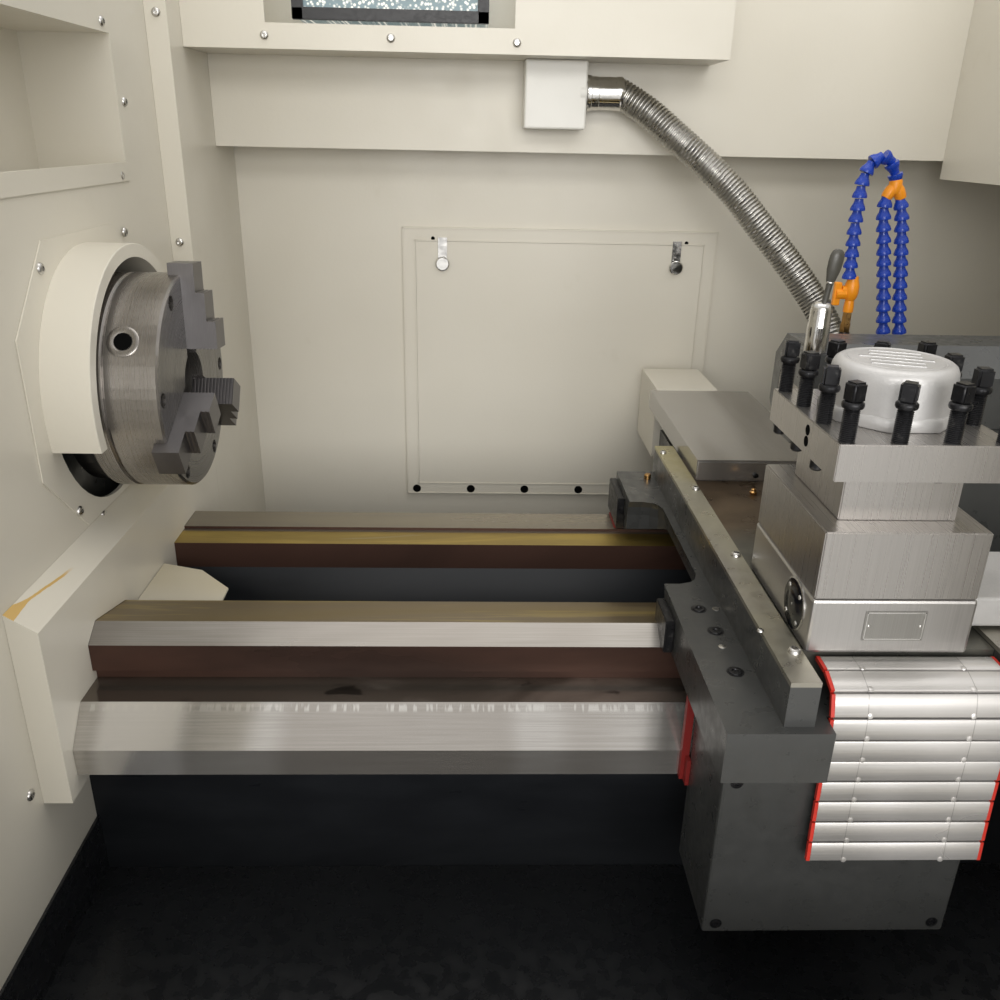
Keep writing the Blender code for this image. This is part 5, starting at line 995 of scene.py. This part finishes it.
def make_roll_cover():
    """Ten hinged aluminium slats with their red edge strips."""
    line = smooth_route([at(0, y, z) for y, z in ROLL_LINE], 0.001)
    lengths = [0.0]
    for before, after in zip(line, line[1:]):
        lengths.append(lengths[-1] + (after - before).length)

    def spot_at(length):
        for index, reached in enumerate(lengths):
            if reached >= length:
                return line[index]
        return line[-1]

    pitch = lengths[-1] / ROLL_SLATS
    slats = bmesh.new()
    strips = bmesh.new()
    gap_shade_sheet = bmesh.new()
    for count in range(ROLL_SLATS):
        start = spot_at(count * pitch + pitch * 0.03)
        end = spot_at((count + 1) * pitch - pitch * 0.05)
        along = (end - start).normalized()
        out = Vector((0, -along.z, along.y))
        if out.y > 0 and out.z < 0.2:
            out = -out
        if out.z < -0.5:
            out = -out
        height = (end - start).length
        left, right = ROLL_LEFT + 0.0035, ROLL_RIGHT - 0.0035
        ends = []
        for x in (left, right):
            row = []
            for share, rise in SLAT_SECTION:
                spot = start + along * height * share + out * rise
                row.append(slats.verts.new(Vector((SPINDLE.x + x, spot.y, spot.z))))
            ends.append(row)
        skin(slats, ends)
        for share in (0.2, 0.78):
            middle = left + (right - left) * share
            pinch = start + along * height * 0.93 + out * 0.0016
            place = Vector((SPINDLE.x + middle, pinch.y, pinch.z))
            add_turned(slats, mm((3, 0), (2.6, 0.9), (1.2, 1.3)), place, out, 12)
        for x in (ROLL_LEFT + 0.0002, ROLL_RIGHT - 0.0036):
            spot = start + along * (height / 2)
            place = Matrix.Translation((SPINDLE.x + x + 0.0017, spot.y, spot.z)) @ frame_along(along)
            add_cube(strips, (0.0034, 0.0040, height * 0.985), place)
    # A black sheet just behind the slats: painted shade seen through the gaps between them
    rows = []
    for spot in line[::6]:
        low = gap_shade_sheet.verts.new(Vector((SPINDLE.x + ROLL_LEFT + 0.004, spot.y + 0.0022, spot.z - 0.0016)))
        high = gap_shade_sheet.verts.new(Vector((SPINDLE.x + ROLL_RIGHT - 0.004, spot.y + 0.0022, spot.z - 0.0016)))
        rows.append((low, high))
    for lower, upper in zip(rows, rows[1:]):
        gap_shade_sheet.faces.new((lower[0], lower[1], upper[1], upper[0]))
    made = [
        piece("roll_slats", slats, SLAT, None),
        piece("roll_edge_strips", strips, RED, None),
        piece("roll_gap_shade", gap_shade_sheet, BLACK, None),
    ]
    end = at(0.73, -0.405, -0.200)
    for one in made:
        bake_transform(one)
    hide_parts("roll_cover")


LOCK = (0.714, -0.078)


def make_lock_lever():
    """The quill lock: a chrome hub of two sleeves and an olive lever with a flat, rounded grip."""
    base = at(LOCK[0], LOCK[1], 0.0625)
    profile = mm(
        (11.8, 0), (12.4, 1), (12.4, 28.5), (12.1, 30), (11.7, 31), (11.7, 46),
        (10.8, 50.5), (8.5, 53.5), (5.5, 54.8),
    )
    made = fitting("lock_lever_hub", CHROME, "quill_lock", (profile, base, UP, 36))
    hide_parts("quill_lock")
    lever = bmesh.new()
    low = base + Vector((0.0015, 0, 0.050))
    lean = Vector((0.0075, 0, 0.0605))
    profile = mm((3.4, 0), (3.3, 18), (3.6, 24.5))
    add_turned(lever, profile, low, lean, 20)
    grip = mm((4, 0), (5.2, 4), (7.4, 14), (8, 22), (7.8, 29), (6.2, 34), (3.4, 36.2))
    start = low + lean * 0.41
    before = len(lever.verts)
    add_turned(lever, grip, start, lean, 24)
    lever.verts.ensure_lookup_table()
    flatten = Matrix.Diagonal((1.0, 0.62, 1.0, 1.0))
    flatten = Matrix.Translation(start) @ flatten @ Matrix.Translation(-start)
    bmesh.ops.transform(lever, matrix=flatten, verts=lever.verts[before:])
    piece("lock_lever_arm", lever, OLIVE, "quill_lock")
    fitting(
        "lock_lever_ring", CHROME, "quill_lock",
        (mm((4.1, 0), (4.4, 0.6), (4.4, 1.4), (4.1, 2)), start, lean, 20),
    )


# The chuck guard's radii, and the height of its two ends
GUARD_INNER, GUARD_OUTER = 0.141, 0.157
GUARD_END = -0.04


def make_guard():
    """The rolled sheet arch over the chuck, with a finer curve than the plain one."""
    shape = bmesh.new()
    back, front = WALL_X + 0.0019, -0.057
    low = math.asin(GUARD_END / GUARD_INNER)
    section = (
        (back, GUARD_OUTER), (front - 0.0008, GUARD_OUTER), (front, GUARD_OUTER - 0.0008),
        (front, GUARD_INNER + 0.0008), (back, GUARD_INNER),
    )
    steps = 96
    rows = []
    for count in range(steps + 1):
        angle = low + (math.pi - 2 * low) * count / steps
        row = []
        for x, radius in section:
            z = max(radius * math.sin(angle), GUARD_END)
            y = math.copysign(math.sqrt(radius**2 - z**2), math.cos(angle))
            row.append(shape.verts.new(at(x, y, z)))
        rows.append(row)
    skin(shape, rows)
    made = piece("guard_sheet", shape, CREAM, "frame")
    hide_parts("chuck_guard")


def make_chuck_details():
    """The rings round the chuck's key sockets, and dark plugs in them as painted shade for the holes."""
    ring = bmesh.new()
    hole = bmesh.new()
    for angle in (146.5, 266.5, 26.5):
        turn = math.radians(angle)
        out = Vector((0, math.cos(turn), math.sin(turn)))
        spot = at(-0.0372, 0, 0) + out * 0.1242
        add_turned(ring, mm((17.2, 0), (17.2, 1), (16.2, 1.6), (11.2, 1.6), (9.8, 0.8)), spot, out, 36)
        add_turned(hole, mm((9.4, 0), (9.4, 2)), spot, out, 28)
    piece("chuck_key_rings", ring, CHUCK, "spindle")
    piece("chuck_key_holes", hole, PAINTED_HOLE_SHADE, "spindle")


def make_lamp_front():
    """The lamp's black rim."""
    low = (0.073, LAMP_Y + 0.012, 0.424)
    high = (0.352, LAMP_Y + 0.0195, 0.560)
    fitting(
        "lamp_rim", BLACK, "frame",
        (low, (high[0], high[1], low[2] + 0.016), 0.001),
        (low, (low[0] + 0.016, high[1], high[2]), 0.001),
        ((high[0] - 0.016, low[1], low[2]), high, 0.001),
    )


HATCH_HOLES = (0.224, 0.331, 0.438, 0.546, 0.653, 0.760)
HATCH_BORDER = (0.205, 0.772, -0.386, 0.124)


def make_hatch_details():
    """The rear hatch's raised border, dark discs as painted shade for its holes, and its latch cups."""
    left, right, bottom, top = HATCH_BORDER
    face = BACK_Y - 0.0062
    border = bmesh.new()
    for inset in (0.0004, 0.0215):
        edges = (left + inset, right - inset, bottom + inset, top - inset)
        add_border(border, edges, face - 0.0016, face, 0.0022, 0.0005)
    piece("hatch_border", border, CREAM, "frame")
    holes = bmesh.new()
    # Dark discs on the hatch's face: painted shade for its holes
    for x in HATCH_HOLES:
        add_turned(holes, mm((8, 0), (8, 0.4)), at(x, face, -0.3755), FRONT, 20)
    for x, z in ((0.260, 0.105), (0.716, 0.104)):
        add_turned(holes, mm((3.5, 0), (3.5, 0.4)), at(x, face, z), FRONT, 14)
    piece("hatch_holes", holes, PAINTED_HOLE_SHADE, "frame")
    cups = bmesh.new()
    for x in (0.277, 0.699):
        profile = mm((12, 0), (12, 1.2), (10.5, 2.2), (10.5, 2.4))
        add_turned(cups, profile, at(x, BACK_Y - 0.0155, 0.062), FRONT, 28)
    piece("latch_cups", cups, CHROME, "frame")


CHUTE = ((-0.079, 0.034), (-0.023, 0.015), (0.024, -0.035), (0.025, -0.071), (-0.079, -0.072))


def make_end_chute():
    """The cream plate between the ways at the end cover, the pocket's lip and the conduit's ferrule."""
    shape = bmesh.new()
    skin(shape, [[shape.verts.new(at(x, y, z)) for x, y in CHUTE] for z in (-0.264, -0.262)])
    piece("end_chute", shape, STAINED, "frame", smooth=False)
    fitting(
        "pocket_lip", CREAM, "frame",
        ((WALL_X + 0.0002, -0.22, 0.2145), (WALL_X + 0.0024, 0.178, 0.2380), 0.0008),
    )
    fitting(
        "junction_ferrule", CHROME, "frame",
        (mm((25, 0), (25.6, 1), (25.6, 6.5), (24.6, 7.5)), at(*BOX_OUTLET), RIGHT, 40),
    )


# The casing's outer face, in the row frame
COVER_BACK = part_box("headstock_cover")[1].y
VENTS = ((-0.96, -0.66, 1.22, 1.46), (-0.96, -0.66, 0.30, 0.54))


def add_row_box(shape, low, high, bevel):
    """A block between two corners of the row frame."""
    add_box(shape, Vector(low) - SPINDLE, Vector(high) - SPINDLE, bevel)


def make_casing_details():
    """Service covers on the casing's back: rims, louvres, dark strips between the louvres as painted shade
    for the slots, and button screws.
    """
    plates = bmesh.new()
    slots = bmesh.new()
    screws = bmesh.new()
    back = COVER_BACK
    for left, right, bottom, top in VENTS:
        add_row_box(plates, (left, back, bottom), (right, back + 0.0016, top), 0.0005)
        near, far = left + 0.04, right - 0.04
        for count in range(9):
            low = bottom + 0.035 + count * 0.0212
            # Dark strips: painted shade for the slots between the louvres
            add_row_box(slots, (near, back + 0.0014, low), (far, back + 0.0018, low + 0.0075), 0)
            ridge = low + 0.0078
            add_row_box(plates, (near, back + 0.0012, ridge), (far, back + 0.0028, ridge + 0.004), 0.0006)
        for x in (left + 0.014, right - 0.014):
            for z in (bottom + 0.014, top - 0.014):
                add_button_screw(screws, Vector((x, back + 0.0015, z)), (0, 1, 0), 0.0024)
    piece("vent_covers", plates, CREAM, "frame")
    piece("vent_slots", slots, PAINTED_HOLE_SHADE, "frame")
    piece("vent_screws", screws, ZINC, "frame")


def make_control_panel():
    """The control box's dark screen and rows of blank keys."""
    low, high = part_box("control_box")
    front, top = low.y, high.z
    screen = bmesh.new()
    corner = (high.x - 0.037, front + 0.0038, top - 0.037)
    add_row_box(screen, (low.x + 0.037, front + 0.0022, top - 0.2432), corner, 0.0006)
    piece("control_screen", screen, GLOSS, "frame")
    keys = bmesh.new()
    for line in range(6):
        for column in range(8):
            x = low.x + 0.048 + column * 0.024
            z = top - 0.272 - line * 0.025
            corner = (x + 0.008, front - 0.0002, z + 0.008)
            add_row_box(keys, (x - 0.008, front - 0.0024, z - 0.008), corner, 0.0009)
    piece("control_keys", keys, KEYS, "frame")


def make_lights():
    """Broad soft lights in front and above, a small pool of light from the camera's side and a pale sky."""
    world = bpy.data.worlds.new("studio")
    bpy.context.scene.world = world
    world.use_nodes = True
    sky = world.node_tree.nodes["Background"].inputs
    sky["Color"].default_value = (1.0, 0.985, 0.965, 1)
    sky["Strength"].default_value = 0.8
    lamps = (
        ("top_light", (0.2, -0.1, 3.6), (0.3, 0.2, 1.0), (2.6, 1.6), 20, (1.0, 0.97, 0.92)),
        ("front_light", (0.2, -8.0, 3.4), (0.0, 0.3, 1.0), (7.0, 4.2), 430, (1.0, 0.985, 0.96)),
        ("camera_light", (0.30, -2.2, 1.45), (0.45, 0.6, 0.9), (1.5, 0.9), 6, (1.0, 0.985, 0.96)),
    )
    for name, place, aim, size, power, colour in lamps:
        data = bpy.data.lights.new(name, "AREA")
        data.shape = "RECTANGLE"
        data.size, data.size_y = size
        data.energy = power
        data.color = colour
        lamp = bpy.data.objects.new(name, data)
        lamp.location = place
        lamp.rotation_euler = (Vector(aim) - Vector(place)).to_track_quat("-Z", "Y").to_euler()
        bpy.context.scene.collection.objects.link(lamp)


def make_floor():
    """A plain pale floor."""
    shape = bmesh.new()
    bmesh.ops.create_grid(shape, x_segments=1, y_segments=1, size=9)
    floor = Finish("floor", (0.55, 0.55, 0.54), 0.6)
    floor.rough(floor.noise(3.0), 0.5, 0.7)
    made = piece("floor", shape, floor.material, None, smooth=False)
    made.location.z = -0.0005


def make_camera():
    """The photograph's camera."""
    turn = (
        Matrix.Rotation(math.radians(CAMERA_YAW), 3, "Z")
        @ Matrix.Rotation(math.radians(-CAMERA_PITCH), 3, "X")
        @ Matrix.Rotation(math.radians(CAMERA_ROLL), 3, "Y")
    )
    right, ahead, up = turn.col[0], turn.col[1], turn.col[2]
    data = bpy.data.cameras.new("camera")
    data.lens = CAMERA_LENS
    data.sensor_width = SENSOR
    data.clip_start = 0.02
    data.clip_end = 60
    made = bpy.data.objects.new("camera", data)
    made.matrix_world = Matrix.Translation(at(*CAMERA_PLACE)) @ Matrix(
        (
            (right.x, up.x, -ahead.x, 0),
            (right.y, up.y, -ahead.y, 0),
            (right.z, up.z, -ahead.z, 0),
            (0, 0, 0, 1),
        )
    )
    bpy.context.scene.collection.objects.link(made)
    bpy.context.scene.camera = made


SOFT_EDGES = {
    0.001: "turret_base cross_slide x_cover hatch_panel",
    0.0015: "saddle bed_end_cover tailstock",
    0.002: "apron x_motor_cover lamp_panel",
}


def soften_edges():
    """Round the sharp edges of some CAD nodes with a modifier, which leaves their meshes alone."""
    for width, names in SOFT_EDGES.items():
        for name in names.split():
            made = NODES[name].modifiers.new("edges", "BEVEL")
            made.width = width
            made.segments = 2
            made.limit_method = "ANGLE"
            made.angle_limit = math.radians(50)
            made.harden_normals = False


def main():
    """Dress the frame."""
    make_camera()
    dress_nodes()
    make_conduit()
    make_coolant_line()
    make_panel_screws()
    make_carriage_screws()
    make_wipers()
    make_turret_blocks()
    make_turret_bolts()
    make_turret_cap()
    make_turret_details()
    make_roll_cover()
    make_lock_lever()
    make_lamp_front()
    make_hatch_details()
    make_end_chute()
    make_guard()
    make_chuck_details()
    make_casing_details()
    make_control_panel()
    soften_edges()
    make_lights()
    make_floor()
    view = bpy.context.scene.view_settings
    view.view_transform = "Standard"


main()
bpy.context.view_layer.update()
